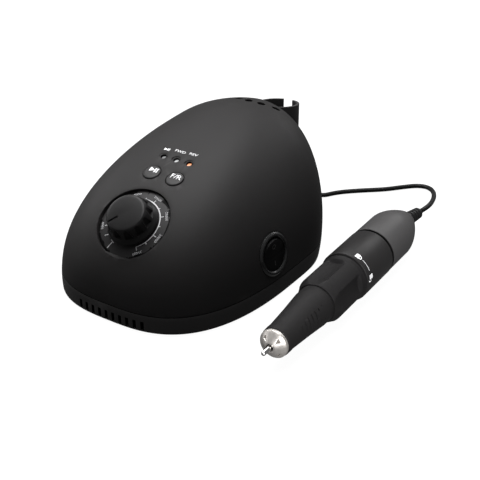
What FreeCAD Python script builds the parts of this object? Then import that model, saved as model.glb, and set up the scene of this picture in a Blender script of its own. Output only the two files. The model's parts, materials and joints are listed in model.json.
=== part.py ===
import FreeCAD, Part
import Sketcher
import math
import operator
import os

Vector = FreeCAD.Vector
Placement = FreeCAD.Placement
Rotation = FreeCAD.Rotation

doc = FreeCAD.newDocument("NailDrillMachine")
sheet = doc.addObject("Spreadsheet::Sheet", "Sizes")

# Driving sizes, in millimetres, degrees and counts.
SIZES = {
    # Casing: reaches are taken at table height from the widest station, which lies above the origin.
    "front_reach": 99.2,
    "rear_reach": 61.0,
    "half_width": 60.9,
    "dome_height": 75.5,
    "crest_setback": 21.5,
    "shell_wall": 2.2,
    "seam_height": 11.0,
    "seam_gap": 0.4,
    "tray_clearance": 1.2,
    "tray_floor": 2.4,
    "tray_wall": 2.5,
    "tray_tuck": 0.5,
    "lip_wall": 1.2,
    "lip_rise": 1.8,
    "vent_count": 10,
    "vent_pitch": 4.3,
    "vent_width": 1.8,
    "vent_shift": 1.2,
    "vent_low": 1.7,
    "vent_high": 7.0,
    "air_hole_radius": 2.3,
    "air_hole_pitch": 7.4,
    "air_hole_setback": 31.8,
    "seat_gap": 0.15,
    # Case screws and feet
    "post_radius": 4.2,
    "front_post_x": 38.0,
    "front_post_y": 50.0,
    "rear_post_x": 42.0,
    "rear_post_y": 20.0,
    "screw_radius": 1.5,
    "screw_length": 13.0,
    "screw_head_radius": 2.9,
    "screw_head_height": 2.0,
    "screw_recess": 3.3,
    "foot_radius": 6.0,
    "foot_bed": 0.8,
    "front_foot_x": 36.0,
    "front_foot_y": 74.0,
    "rear_foot_x": 31.0,
    "rear_foot_y": 38.0,
    # Speed dial and knob
    "dial_height": 48.1,
    "dial_shift": 0.7,
    "dial_radius": 19.5,
    "dial_depth": 4.1,
    "dial_sink": 1.5,
    "nut_depth": 3.1,
    "dial_rim_gap": 0.4,
    "knob_skirt_radius": 13.6,
    "knob_skirt_height": 2.2,
    "knob_waist_radius": 12.1,
    "knob_top_radius": 10.7,
    "knob_height": 9.8,
    "knob_gap": 0.4,
    "flute_count": 12,
    "flute_radius": 2.4,
    "flute_depth": 1.7,
    "pot_radius": 8.0,
    "pot_depth": 8.0,
    "bushing_radius": 3.5,
    "shaft_radius": 2.95,
    "running_gap": 0.05,
    "nut_across": 10.0,
    "nut_height": 2.0,
    # Buttons and lights
    "button_height": 61.5,
    "button_offset": 7.2,
    "button_radius": 4.75,
    "button_gap": 0.3,
    "button_travel": 0.5,
    "button_flange": 1.1,
    "button_depth": 5.2,
    "light_height": 65.5,
    "light_offset": 8.1,
    "light_shift": 0.8,
    "light_radius": 1.55,
    "light_recess": 0.5,
    "board_thickness": 1.6,
    "tact_side": 6.0,
    "tact_height": 3.6,
    "tact_plunger": 0.7,
    # Round rocker switch on the right side
    "switch_setback": 32.6,
    "switch_height": 25.3,
    "bezel_radius": 11.5,
    "bezel_height": 1.8,
    "switch_body_radius": 9.9,
    "switch_depth": 16.0,
    "rocker_radius": 8.4,
    "rocker_room": 9.0,
    "rocker_tilt": 7.0,
    "rocker_pin_radius": 1.0,
    # Handpiece socket, plug and mains inlet
    "socket_offset": 28.0,
    "socket_height": 28.0,
    "socket_radius": 4.5,
    "socket_body_radius": 6.0,
    "socket_depth": 16.0,
    "socket_nut_across": 13.0,
    "contact_radius": 1.75,
    "contact_length": 13.0,
    "plug_radius": 4.6,
    "plug_length": 17.0,
    "plug_boot_length": 13.0,
    "inlet_setback": 2.0,
    "inlet_height": 25.0,
    "inlet_width": 20.0,
    "inlet_rise": 13.0,
    "inlet_depth": 16.0,
    "inlet_flange": 2.0,
    "inlet_flange_height": 1.5,
    "recess_width": 15.2,
    "recess_rise": 8.6,
    "recess_depth": 12.0,
    "inlet_pin_radius": 1.18,
    "inlet_pin_pitch": 8.6,
    "inlet_pin_length": 10.0,
    # Handpiece holder behind the dome
    "holder_setback": 64.5,
    "holder_bore": 10.6,
    "holder_wall": 1.6,
    "channel_gap": 0.5,
    "holder_low": 44.0,
    "holder_high": 61.2,
    "holder_slant": 7.0,
    "holder_slot": 6.4,
    # Boards, transformer and cooling
    "power_board_width": 56.0,
    "power_board_length": 32.0,
    "power_board_setback": 50.0,
    "power_board_height": 8.5,
    "core_width": 44.0,
    "core_stack": 22.0,
    "core_rise": 37.0,
    "core_limb": 14.6,
    "winding_length": 36.0,
    "transformer_y": 6.0,
    "capacitor_radius": 5.0,
    "capacitor_height": 18.0,
    "sink_width": 24.0,
    "sink_depth": 9.0,
    "sink_height": 21.0,
    "fin_count": 6,
    "fin_thickness": 1.2,
    # Handpiece: stations run along its axis from the tip of the pin
    "handpiece_x": 89.5,
    "handpiece_tip_y": 96.0,
    "pin_radius": 1.175,
    "pin_length": 32.0,
    "nose_mouth": 6.3,
    "nose_mouth_radius": 2.0,
    "nose_rim": 9.6,
    "nose_radius": 7.5,
    "grip_start": 11.4,
    "grip_front_radius": 7.8,
    "grip_middle_radius": 8.9,
    "grip_rear_radius": 10.2,
    "collar_start": 50.5,
    "collar_radius": 12.8,
    "collar_bore": 9.7,
    "scallop_count": 6,
    "scallop_radius": 9.5,
    "scallop_depth": 1.9,
    "barrel_start": 79.8,
    "barrel_radius": 13.8,
    "barrel_wall": 2.55,
    "cap_start": 109.4,
    "cap_radius": 13.6,
    "cap_wall": 1.45,
    "cap_shoulder": 132.0,
    "cap_end": 150.5,
    "cap_end_radius": 7.2,
    "boot_radius": 4.1,
    "boot_rib_count": 6,
    "boot_length": 14.8,
    "boot_tilt": 10.0,
    "boot_ball_radius": 2.2,
    "tube_radius": 6.4,
    "tube_bore": 5.0,
    "spindle_radius": 3.0,
    "spindle_bore": 2.1,
    "bearing_width": 5.0,
    "motor_radius": 11.0,
    "motor_start": 87.5,
    "motor_end": 132.0,
    "motor_wall": 1.1,
    "magnet_thickness": 1.6,
    "rotor_radius": 7.9,
    "motor_shaft_radius": 1.5,
    "cam_travel": 1.2,
    "collet_travel": 1.0,
    # Handpiece cord
    "cord_radius": 1.4,
    "cord_gap": 0.3,
    "coil_radius": 16.0,
    "coil_pitch": 3.4,
    "coil_turns_per_layer": 2.5,
    "coil_layers": 4,
    "coil_x": -25.0,
    "coil_y": 95.0,
}

for row, (alias, value) in enumerate(SIZES.items(), start=1):
    sheet.set("A%d" % row, alias)
    sheet.set("B%d" % row, str(value))
    sheet.setAlias("B%d" % row, alias)
doc.recompute()


class Size:
    """A number that keeps its formula, so that a feature can be bound to the sheet."""

    def __init__(self, value, formula):
        self.value = float(value)
        self.formula = formula

    def __float__(self):
        return self.value

    def __add__(self, other):
        return joined(self, other, "+", operator.add)

    def __radd__(self, other):
        return joined(other, self, "+", operator.add)

    def __sub__(self, other):
        return joined(self, other, "-", operator.sub)

    def __rsub__(self, other):
        return joined(other, self, "-", operator.sub)

    def __mul__(self, other):
        return joined(self, other, "*", operator.mul)

    def __rmul__(self, other):
        return joined(other, self, "*", operator.mul)

    def __neg__(self):
        return joined(0, self, "-", operator.sub)

    def __truediv__(self, other):
        return joined(self, other, "/", operator.truediv)


def as_size(number):
    if isinstance(number, Size):
        return number
    return Size(number, "%.6f" % number if number >= 0 else "(0 - %.6f)" % -number)


def joined(first, second, sign, act):
    first = as_size(first)
    second = as_size(second)
    formula = "(%s %s %s)" % (first.formula, sign, second.formula)
    return Size(act(first.value, second.value), formula)


class Sheet:
    """The driving sizes by name."""


s = Sheet()
for alias in SIZES:
    setattr(s, alias, Size(sheet.get(alias), "Sizes." + alias))

subparts = []
cord_nodes = []


def bind(item, prop, size):
    """A property takes its value and its formula from a size."""
    size = as_size(size)
    setattr(item, prop, size.value)
    item.setExpression(prop, size.formula)


def keep(item, node, cord=False):
    """The item is a piece of its own, and its label names its file."""
    item.Label = node
    subparts.append(item)
    if cord:
        cord_nodes.append(node)
    return item


def at(x=0.0, y=0.0, z=0.0):
    return Placement(Vector(float(x), float(y), float(z)), Rotation())


def frame(point, x_axis, z_axis):
    """Local frame at a point, with its Z along z_axis and its X near x_axis."""
    return Placement(point, Rotation(x_axis, Vector(), z_axis, "ZXY"))


def cylinder(name, radius, height, place=None):
    item = doc.addObject("Part::Cylinder", name)
    bind(item, "Radius", radius)
    bind(item, "Height", height)
    if place:
        item.Placement = place
    return item


def block(name, length, width, height, place=None):
    """Box centred on its own X and Y."""
    item = doc.addObject("Part::Box", name)
    bind(item, "Length", length)
    bind(item, "Width", width)
    bind(item, "Height", height)
    centre = at(-float(length) / 2, -float(width) / 2, 0)
    item.Placement = place.multiply(centre) if place else centre
    return item


def cut(name, base, tools):
    item = doc.addObject("Part::Cut", name)
    item.Base = base
    if len(tools) == 1:
        item.Tool = tools[0]
    else:
        union = doc.addObject("Part::MultiFuse", name + "_tools")
        union.Shapes = tools
        item.Tool = union
    return item


def fuse(name, shapes):
    item = doc.addObject("Part::MultiFuse", name)
    item.Shapes = shapes
    return item


def solid(name, shape, place=None):
    item = doc.addObject("Part::Feature", name)
    item.Shape = shape
    if place:
        item.Placement = place
    return item


def group(name, shapes):
    """Like pieces that share a node stay separate solids."""
    item = doc.addObject("Part::Compound", name)
    item.Links = shapes
    return item


def plane_of(body, role):
    return [item for item in body.Origin.OriginFeatures if item.Role == role][0]


def polygon_sketch(body, name, role, corners):
    """Closed outline whose corners (across, along) are held by the sheet's formulas."""
    sketch = body.newObject("Sketcher::SketchObject", name)
    sketch.AttachmentSupport = [(plane_of(body, role), "")]
    sketch.MapMode = "FlatFace"
    corners = [(as_size(across), as_size(along)) for across, along in corners]
    count = len(corners)
    lines = []
    for index, (across, along) in enumerate(corners):
        after = corners[(index + 1) % count]
        start = Vector(across.value, along.value, 0)
        end = Vector(after[0].value, after[1].value, 0)
        lines.append(Part.LineSegment(start, end))
    sketch.addGeometry(lines)
    rules = []
    for index in range(count):
        rules.append(Sketcher.Constraint("Coincident", index, 2, (index + 1) % count, 1))
    formulas = []
    for index, (across, along) in enumerate(corners):
        if across.value == 0.0:
            rules.append(Sketcher.Constraint("PointOnObject", index, 1, -2))
        else:
            formulas.append((len(rules), across.formula))
            rules.append(Sketcher.Constraint("DistanceX", -1, 1, index, 1, across.value))
        if along.value == 0.0:
            rules.append(Sketcher.Constraint("PointOnObject", index, 1, -1))
        else:
            formulas.append((len(rules), along.formula))
            rules.append(Sketcher.Constraint("DistanceY", -1, 1, index, 1, along.value))
    sketch.addConstraint(rules)
    for index, formula in formulas:
        sketch.setExpression("Constraints[%d]" % index, formula)
    return sketch


def turned(node, corners, place=None):
    """Body of revolution about its own Z, from corners (radius, station)."""
    body = doc.addObject("PartDesign::Body", node + "_body")
    sketch = polygon_sketch(body, node + "_profile", "XZ_Plane", corners)
    turn = body.newObject("PartDesign::Revolution", node + "_turn")
    turn.Profile = sketch
    turn.ReferenceAxis = (sketch, ["V_Axis"])
    turn.Angle = 360
    if place:
        body.Placement = place
    doc.recompute()
    return body


def circle_sketch(body, name, across, along, radius, lift=0.0):
    """Circle on the body's own XY plane, lifted along Z."""
    sketch = body.newObject("Sketcher::SketchObject", name)
    sketch.AttachmentSupport = [(plane_of(body, "XY_Plane"), "")]
    sketch.MapMode = "FlatFace"
    sketch.AttachmentOffset = at(0, 0, lift)
    across = as_size(across)
    along = as_size(along)
    radius = as_size(radius)
    sketch.addGeometry(Part.Circle(Vector(across.value, along.value, 0), Vector(0, 0, 1), radius.value))
    rules = [Sketcher.Constraint("Radius", 0, radius.value)]
    formulas = [radius.formula]
    for kind, size, axis in (("DistanceX", across, -2), ("DistanceY", along, -1)):
        if size.value == 0.0:
            rules.append(Sketcher.Constraint("PointOnObject", 0, 3, axis))
            formulas.append(None)
        else:
            rules.append(Sketcher.Constraint(kind, -1, 1, 0, 3, size.value))
            formulas.append(size.formula)
    sketch.addConstraint(rules)
    for index, formula in enumerate(formulas):
        if formula:
            sketch.setExpression("Constraints[%d]" % index, formula)
    return sketch


def pocket(body, name, sketch, length, upward):
    """Pocket of a length, cut towards +Z when upward."""
    feature = body.newObject("PartDesign::Pocket", name)
    feature.Profile = sketch
    bind(feature, "Length", length)
    feature.Reversed = upward
    body.Tip = feature
    before = body.Shape.Volume
    doc.recompute()
    if not body.Shape.Volume < before - 0.001:
        raise ValueError("%s cuts nothing" % name)
    return feature


def around(body, name, feature, sketch, count):
    """The feature repeated round the body's axis."""
    pattern = body.newObject("PartDesign::PolarPattern", name)
    pattern.Originals = [feature]
    pattern.Axis = (sketch, ["N_Axis"])
    pattern.Angle = 360
    pattern.Occurrences = int(float(count))
    body.Tip = pattern
    doc.recompute()
    return pattern


# The dome: every level is a blunt oval, fuller in front than behind, about a centre that moves back
# with the height. The oval's reaches follow these powers of the height, from table to crest.
FRONT_POWERS = (1.46, 2.96)
REAR_POWERS = (2.1, 6.5)
SIDE_POWERS = (2.25, 2.27)
FRONT_FULLNESS = 2.9
REAR_FULLNESS = 1.7
CREST_SHARE = 0.9995
OUTLINE_POINTS = 40
DOME_LEVELS = 14


def falloff(share, powers):
    return max(1.0 - share ** powers[1], 0.0) ** (1.0 / powers[0])


def oval(height, inset=0.0):
    """Front, rear, half width and centre of the level at a height, drawn in by an inset."""
    crest = float(s.crest_setback)
    share = height / (float(s.dome_height) - inset)
    front = crest - (float(s.front_reach) - inset + crest) * falloff(share, FRONT_POWERS)
    rear = crest + (float(s.rear_reach) - inset - crest) * falloff(share, REAR_POWERS)
    half = (float(s.half_width) - inset) * falloff(share, SIDE_POWERS)
    centre = min(max(crest * share, front), rear)
    return front, rear, half, centre


def outline(height, inset=0.0, tuck=0.0):
    front, rear, half, centre = oval(height, inset)
    front += tuck
    rear -= tuck
    half -= tuck
    points = []
    for index in range(OUTLINE_POINTS):
        angle = 2 * math.pi * index / OUTLINE_POINTS
        cosine = math.cos(angle)
        sine = math.sin(angle)
        fullness = FRONT_FULLNESS if sine < 0 else REAR_FULLNESS
        reach = centre - front if sine < 0 else rear - centre
        blunt = (abs(cosine) ** fullness + abs(sine) ** fullness) ** (-1 / fullness)
        points.append(Vector(half * cosine * blunt, centre + reach * sine * blunt, height))
    curve = Part.BSplineCurve()
    curve.interpolate(points, PeriodicFlag=True)
    return Part.Wire([curve.toShape()])


def dome(low, inset=0.0):
    """Solid dome from a height up to its crest."""
    crest = float(s.dome_height) - inset
    first = math.asin(low / crest)
    last = math.asin(CREST_SHARE)
    wires = []
    for index in range(DOME_LEVELS):
        share = math.sin(first + (last - first) * index / (DOME_LEVELS - 1))
        wires.append(outline(share * crest, inset))
    return Part.makeLoft(wires, True, False)


def front_point(height):
    """Point of the front centre line and the slope's outward normal there."""
    step = 0.05
    ahead = Vector(0, oval(height - step)[0], height - step)
    behind = Vector(0, oval(height + step)[0], height + step)
    slope = (behind - ahead).normalize()
    return Vector(0, oval(height)[0], height), Vector(0, -slope.z, slope.y)


def wall_point(x, y, height, rear):
    """Point of the casing's side wall at a given y (or x, for the rear), with its outward normal."""
    def distance(px, py, pz):
        front, back, half, centre = oval(pz)
        fullness = REAR_FULLNESS if py > centre else FRONT_FULLNESS
        reach = back - centre if py > centre else centre - front
        return (abs(px) / half) ** fullness + (abs(py - centre) / reach) ** fullness - 1.0

    low = 0.0
    high = 200.0
    for _ in range(60):
        middle = (low + high) / 2
        px, py = (x, middle) if rear else (math.copysign(middle, x), y)
        if distance(px, py, height) > 0:
            high = middle
        else:
            low = middle
    px, py = (x, low) if rear else (math.copysign(low, x), y)
    step = 0.05
    normal = Vector(
        distance(px + step, py, height) - distance(px - step, py, height),
        distance(px, py + step, height) - distance(px, py - step, height),
        distance(px, py, height + step) - distance(px, py, height - step),
    ).normalize()
    return Vector(px, py, height), normal


# Local frames of the dial, the buttons, the rocker switch, the socket and the inlet, each with its
# Z out of the casing.
ACROSS = Vector(1, 0, 0)
dial_point, dial_normal = front_point(float(s.dial_height))
dial_frame = frame(dial_point + ACROSS * float(s.dial_shift), ACROSS, dial_normal)
button_point, button_normal = front_point(float(s.button_height))
button_frame = frame(button_point, ACROSS, button_normal)
light_point, light_normal = front_point(float(s.light_height))
light_place = button_frame.inverse().multVec(light_point)
switch_point, switch_normal = wall_point(1.0, -float(s.switch_setback), float(s.switch_height), False)
switch_side = Vector(0, 0, 1).cross(switch_normal)
switch_frame = frame(switch_point, switch_side, switch_normal)
socket_point, socket_normal = wall_point(-float(s.socket_offset), 0.0, float(s.socket_height), True)
socket_normal = Vector(socket_normal.x, socket_normal.y, 0).normalize()
socket_frame = frame(socket_point, Vector(0, 0, 1).cross(socket_normal), socket_normal)
inlet_point, inlet_normal = wall_point(-1.0, float(s.inlet_setback), float(s.inlet_height), False)
inlet_frame = frame(inlet_point, Vector(0, 1, 0), Vector(-1, 0, 0))

# Depths of the flat seats in the curved casing, along each frame's Z.
switch_seat = s.bezel_height - 0.5
socket_seat = 1.6
inlet_seat = 3.2

# Upper shell: one moulding, a skin with thick seats behind the dial, switch, socket and inlet, a
# half-round channel in its back for the handpiece's nose, and posts for the screws.
shell_low = float(s.seam_height) + float(s.seam_gap) / 2
outer_dome = dome(shell_low)
inner_dome = dome(float(s.seam_height) - 3.0, float(s.shell_wall))
skin = outer_dome.cut(inner_dome)


def rod(place, radius, low, high):
    """Plain round tool along a frame's Z."""
    tool = Part.makeCylinder(float(radius), float(high) - float(low), Vector(0, 0, float(low)))
    tool.Placement = place.multiply(tool.Placement)
    return tool


def slab(place, length, width, low, high, x=0.0, y=0.0):
    """Plain box tool, centred on (x, y) of a frame."""
    corner = Vector(float(x) - float(length) / 2, float(y) - float(width) / 2, float(low))
    tool = Part.makeBox(float(length), float(width), float(high) - float(low), corner)
    tool.Placement = place.multiply(tool.Placement)
    return tool


OUT = 30.0
AIR_HOLE_BEND = 1.3
switch_pad = s.bezel_radius + 1.3
channel_frame = at(0, s.holder_setback, 0)
clip_radius = s.holder_bore + s.holder_wall
clip_bed = clip_radius + s.seat_gap
wall = s.shell_wall

seats = [
    rod(dial_frame, s.dial_radius + s.dial_rim_gap + wall, -(s.dial_depth + wall), OUT),
    rod(switch_frame, switch_pad, -(switch_seat + wall), OUT),
    rod(socket_frame, s.socket_body_radius + 4.0, -(socket_seat + float(wall)), OUT),
    slab(inlet_frame, s.inlet_width + 10, s.inlet_rise + 10, -(inlet_seat + float(wall)), OUT),
    rod(channel_frame, clip_bed + wall, shell_low, s.dome_height),
]
for side in (-1, 1):
    for x, y in ((s.front_post_x, -s.front_post_y), (s.rear_post_x, s.rear_post_y)):
        post = at(side * float(x), y, 0)
        seats.append(rod(post, s.post_radius, shell_low, s.dome_height))
board_lift = s.button_depth + s.button_gap + s.button_travel - 0.25 + s.tact_plunger + s.tact_height
board_post_x = 14.0
board_post_y = 3.5
for side in (-1, 1):
    post = button_frame.multiply(at(side * board_post_x, board_post_y, 0))
    seats.append(rod(post, 2.6, -board_lift, OUT))
solid_seats = seats[0].multiFuse(seats[1:]).common(outer_dome)
shell_shape = skin.fuse(solid_seats)

flange_top = -(wall + s.button_gap + 0.25)
flange_room = s.button_radius + s.button_flange + s.button_gap
openings = [
    rod(dial_frame, s.dial_radius + s.dial_rim_gap, -s.dial_depth, OUT),
    rod(dial_frame, s.bushing_radius + s.running_gap, -OUT, OUT),
    rod(switch_frame, s.bezel_radius + 0.2, -switch_seat, OUT),
    rod(switch_frame, s.switch_body_radius + s.seat_gap, -OUT, OUT),
    rod(socket_frame, s.socket_nut_across / 2 + 1.8, -socket_seat, OUT),
    rod(socket_frame, s.socket_radius + s.seat_gap, -OUT, OUT),
    slab(inlet_frame, s.inlet_width + 2 * s.inlet_flange + 0.4, s.inlet_rise + 2 * s.inlet_flange + 0.4,
         -inlet_seat, OUT),
    slab(inlet_frame, s.inlet_width + 0.3, s.inlet_rise + 0.3, -OUT, OUT),
    rod(channel_frame, s.holder_bore + s.channel_gap, 0, s.dome_height),
    rod(channel_frame, clip_bed, s.holder_low - s.seat_gap, s.dome_height),
]
for side in (-1, 1):
    hole = button_frame.multiply(at(side * float(s.button_offset), 0, 0))
    openings.append(rod(hole, s.button_radius + s.button_gap, -OUT / 3, OUT / 3))
    openings.append(rod(hole, flange_room, -OUT / 3, flange_top + 0.15))
    screw = button_frame.multiply(at(side * board_post_x, board_post_y, 0))
    openings.append(rod(screw, 1.03, -board_lift, -3.5))
for column in (-1, 0, 1):
    light_x = column * float(s.light_offset) - float(s.light_shift)
    hole = button_frame.multiply(at(light_x, light_place.y, light_place.z))
    openings.append(rod(hole, s.light_radius + s.running_gap, -OUT / 3, OUT / 3))
    openings.append(rod(hole, s.light_radius + 1.0, -s.light_recess, OUT / 3))
screw_hole_top = s.tray_clearance + s.screw_recess + s.screw_length + 0.5
for side in (-1, 1):
    for x, y in ((s.front_post_x, -s.front_post_y), (s.rear_post_x, s.rear_post_y)):
        openings.append(rod(at(side * float(x), y, 0), s.screw_radius + 0.03, 0, screw_hole_top))
for column in range(-2, 3):
    x = column * float(s.air_hole_pitch)
    y = float(s.air_hole_setback) + AIR_HOLE_BEND * column ** 2
    openings.append(rod(at(x, y, 0), s.air_hole_radius, s.dome_height - 22, s.dome_height))
holder_screw_heights = (s.holder_low + 4, s.holder_low + 13)
holder_seat_y = s.holder_setback - clip_bed
for height in holder_screw_heights:
    hole = frame(Vector(0, float(holder_seat_y), float(height)), ACROSS, Vector(0, 1, 0))
    openings.append(rod(hole, 1.25, -6, 1))
    openings.append(rod(hole, 2.6, -12, -float(wall)))
shell_shape = shell_shape.cut(openings[0].multiFuse(openings[1:]))
keep(solid("UpperShell", shell_shape), "upper_shell")

# Base tray: the floor, a low wall with the front air slots, the lip that stands inside the shell,
# the ledge that closes the channel, and posts for the case screws and the power board.
tray_low = float(s.tray_clearance)
tray_top = float(s.seam_height) - float(s.seam_gap) / 2
tray_floor_top = tray_low + float(s.tray_floor)
TUCK_LEVELS = 5


def tray_block(low, high, inset):
    wires = []
    for index in range(TUCK_LEVELS):
        height = low + (high - low) * index / (TUCK_LEVELS - 1)
        tuck = float(s.tray_tuck) * max(1.0 - height / float(s.seam_height), 0.0) ** 2
        wires.append(outline(height, inset, tuck))
    return Part.makeLoft(wires, True, False)


tray_outer = tray_block(tray_low, tray_top, 0.0)
tray_inner = tray_block(tray_floor_top, tray_top + 0.01, float(s.tray_wall))
lip_inset = float(s.shell_wall) + float(s.seat_gap)
lip_top = float(s.seam_height) + float(s.lip_rise)
lip = tray_block(tray_top - 2.0, lip_top, lip_inset)
lip = lip.cut(tray_block(tray_top - 2.1, lip_top + 0.1, lip_inset + float(s.lip_wall)))
lip = lip.cut(rod(channel_frame, clip_bed + wall + s.seam_gap, tray_top, lip_top + 1))
lip = lip.cut(rod(switch_frame, switch_pad + s.seam_gap, -(switch_seat + wall + s.seam_gap), OUT))
tray_shape = tray_outer.cut(tray_inner).fuse(lip)
ledge = rod(channel_frame, clip_bed + wall, tray_top - 2.0, tray_top).common(tray_outer)
board_top = s.power_board_height
additions = [ledge]
for side in (-1, 1):
    for x, y in ((s.front_post_x, -s.front_post_y), (s.rear_post_x, s.rear_post_y)):
        additions.append(rod(at(side * float(x), y, 0), s.post_radius, tray_low, tray_top))
board_screws_at = []
for x_side in (-1, 1):
    for y_side in (-1, 1):
        x = x_side * (float(s.power_board_width) / 2 - 4)
        y = -float(s.power_board_setback) + y_side * (float(s.power_board_length) / 2 - 4)
        board_screws_at.append((x, y))
        additions.append(rod(at(x, y, 0), 2.6, tray_low, board_top))
core_feet_at = []
for x_side in (-1, 1):
    x = x_side * (float(s.core_width) / 2 - 4)
    core_feet_at.append(x)
    additions.append(slab(at(x, s.transformer_y, 0), 6, s.core_stack, tray_low, tray_floor_top + 1.0))
tray_shape = tray_shape.multiFuse(additions)
holes = []
for side in (-1, 1):
    for x, y in ((s.front_post_x, -s.front_post_y), (s.rear_post_x, s.rear_post_y)):
        place = at(side * float(x), y, 0)
        holes.append(rod(place, s.screw_radius + 0.2, 0, tray_top + 1))
        holes.append(rod(place, s.screw_head_radius + 0.4, 0, s.tray_clearance + s.screw_recess))
    for x, y in ((s.front_foot_x, -s.front_foot_y), (s.rear_foot_x, s.rear_foot_y)):
        place = at(side * float(x), y, 0)
        holes.append(rod(place, s.foot_radius + 0.1, 0, s.tray_clearance + s.foot_bed))
for x, y in board_screws_at:
    holes.append(rod(at(x, y, 0), 1.03, tray_floor_top - 1, board_top))
vent_count = int(float(s.vent_count))
for index in range(vent_count):
    x = (index - (vent_count - 1) / 2) * float(s.vent_pitch) + float(s.vent_shift)
    holes.append(slab(at(x, -s.front_reach, 0), s.vent_width, 10, s.vent_low, s.vent_high))
tray_shape = tray_shape.cut(holes[0].multiFuse(holes[1:]))
keep(solid("BaseTray", tray_shape), "base_tray")

# Rubber feet and the screws that hold the tray to the shell.
feet = []
case_screws = []
foot_height = s.tray_clearance + s.foot_bed
head_top = s.tray_clearance + s.screw_recess
for side in (-1, 1):
    for row, (x, y) in enumerate(((s.front_foot_x, -s.front_foot_y), (s.rear_foot_x, s.rear_foot_y))):
        foot = turned("foot_%d_%d" % (side + 1, row), [
            (0, 0), (s.foot_radius - 0.8, 0), (s.foot_radius, 0.8),
            (s.foot_radius, foot_height), (0, foot_height),
        ], at(side * float(x), y, 0))
        feet.append(foot)
    for row, (x, y) in enumerate(((s.front_post_x, -s.front_post_y), (s.rear_post_x, s.rear_post_y))):
        screw = turned("case_screw_%d_%d" % (side + 1, row), [
            (0, head_top - 1), (1.2, head_top - 1), (1.2, head_top - s.screw_head_height),
            (s.screw_head_radius, head_top - s.screw_head_height), (s.screw_head_radius, head_top),
            (s.screw_radius, head_top), (s.screw_radius, head_top + s.screw_length),
            (0, head_top + s.screw_length),
        ], at(side * float(x), y, 0))
        case_screws.append(screw)
keep(group("RubberFeet", feet), "rubber_feet")
keep(group("CaseScrews", case_screws), "case_screws")

# Speed dial: a printed plate sunk in its bed, crowned as the casing is, with a flat for the nut.
plate_crown = outer_dome.copy()
plate_crown.translate(dial_normal * -float(s.dial_sink))
plate_shape = plate_crown.common(rod(dial_frame, s.dial_radius, -s.dial_depth, OUT))
plate_shape = plate_shape.cut(rod(dial_frame, s.bushing_radius + s.running_gap, -OUT, OUT))
plate_shape = plate_shape.cut(rod(dial_frame, s.nut_across / 2 + 1.2, -s.nut_depth, OUT))
keep(solid("DialPlate", plate_shape), "dial_plate")

# Potentiometer behind the dial: can with a threaded bushing, its nut on the disc, and the shaft.
pot_seat = -(s.dial_depth + wall)
bushing_top = s.nut_height - s.nut_depth + 0.6
bore = s.shaft_radius + s.running_gap
keep(turned("PotentiometerBody", [
    (bore, pot_seat - s.pot_depth + 1.5), (s.pot_radius - 1, pot_seat - s.pot_depth + 1.5),
    (s.pot_radius - 1, pot_seat - s.pot_depth), (s.pot_radius, pot_seat - s.pot_depth),
    (s.pot_radius, pot_seat), (s.bushing_radius, pot_seat),
    (s.bushing_radius, bushing_top), (bore, bushing_top),
], dial_frame), "potentiometer_body")


def hexagon(name, across, low, height, bore_radius, place):
    """Hexagonal nut with a round bore."""
    prism = doc.addObject("Part::Prism", name + "_hex")
    prism.Polygon = 6
    bind(prism, "Circumradius", across / 1.7320508)
    bind(prism, "Height", height)
    prism.Placement = place.multiply(at(0, 0, low))
    hole = cylinder(name + "_bore", bore_radius, height + 2, place.multiply(at(0, 0, low - 1)))
    return cut(name, prism, [hole])


keep(hexagon("PotentiometerNut", s.nut_across, -s.nut_depth, s.nut_height, s.bushing_radius + 0.05,
             dial_frame), "potentiometer_nut")
knob_low = s.knob_gap - s.dial_sink
shaft_top = knob_low + s.knob_height - 3
keep(turned("PotentiometerShaft", [
    (0, pot_seat - s.pot_depth + 2), (s.shaft_radius, pot_seat - s.pot_depth + 2),
    (s.shaft_radius, shaft_top - 0.5), (s.shaft_radius - 0.5, shaft_top), (0, shaft_top),
], dial_frame), "potentiometer_shaft")

# Knob: skirt, fluted side that tapers a little, slightly domed top with the pointer groove, and a
# hollow underside over the nut with a boss on the shaft.
knob_top = knob_low + s.knob_height
knob = turned("SpeedKnob", [
    (s.shaft_radius + 0.02, knob_low + 1.6), (5.0, knob_low + 1.6), (5.0, knob_low + 6),
    (s.knob_waist_radius - 3.2, knob_low + 6), (s.knob_waist_radius - 3.2, knob_low + 2.4),
    (s.knob_skirt_radius - 1.6, knob_low + 1.2),
    (s.knob_skirt_radius - 1.6, knob_low),
    (s.knob_skirt_radius - 0.4, knob_low), (s.knob_skirt_radius, knob_low + 0.6),
    (s.knob_skirt_radius - 0.3, knob_low + s.knob_skirt_height - 0.8),
    (s.knob_waist_radius, knob_low + s.knob_skirt_height + 0.6),
    (s.knob_top_radius, knob_top - 1.0), (s.knob_top_radius - 0.8, knob_top - 0.25),
    (s.knob_top_radius - 2.0, knob_top), (0, knob_top), (0, shaft_top + 0.3),
    (s.shaft_radius + 0.02, shaft_top + 0.3),
], dial_frame)
flute_centre = s.knob_waist_radius - s.flute_depth + s.flute_radius
flute = circle_sketch(knob, "flute_circle", flute_centre, 0, s.flute_radius, knob_top + 1)
flute_cut = pocket(knob, "flute", flute, s.knob_height - s.knob_skirt_height, False)
around(knob, "flutes", flute_cut, flute, s.flute_count)
pointer_angle = 232.0
pointer_turn = Rotation(Vector(0, 0, 1), pointer_angle)
pointer = slab(Placement(Vector(), pointer_turn), 7.0, 1.3, knob_top - 0.6, knob_top + 1, x=7.8)
pointer.Placement = dial_frame.multiply(pointer.Placement)
keep(cut("SpeedKnobCut", knob, [solid("PointerTool", pointer)]), "speed_knob")

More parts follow.
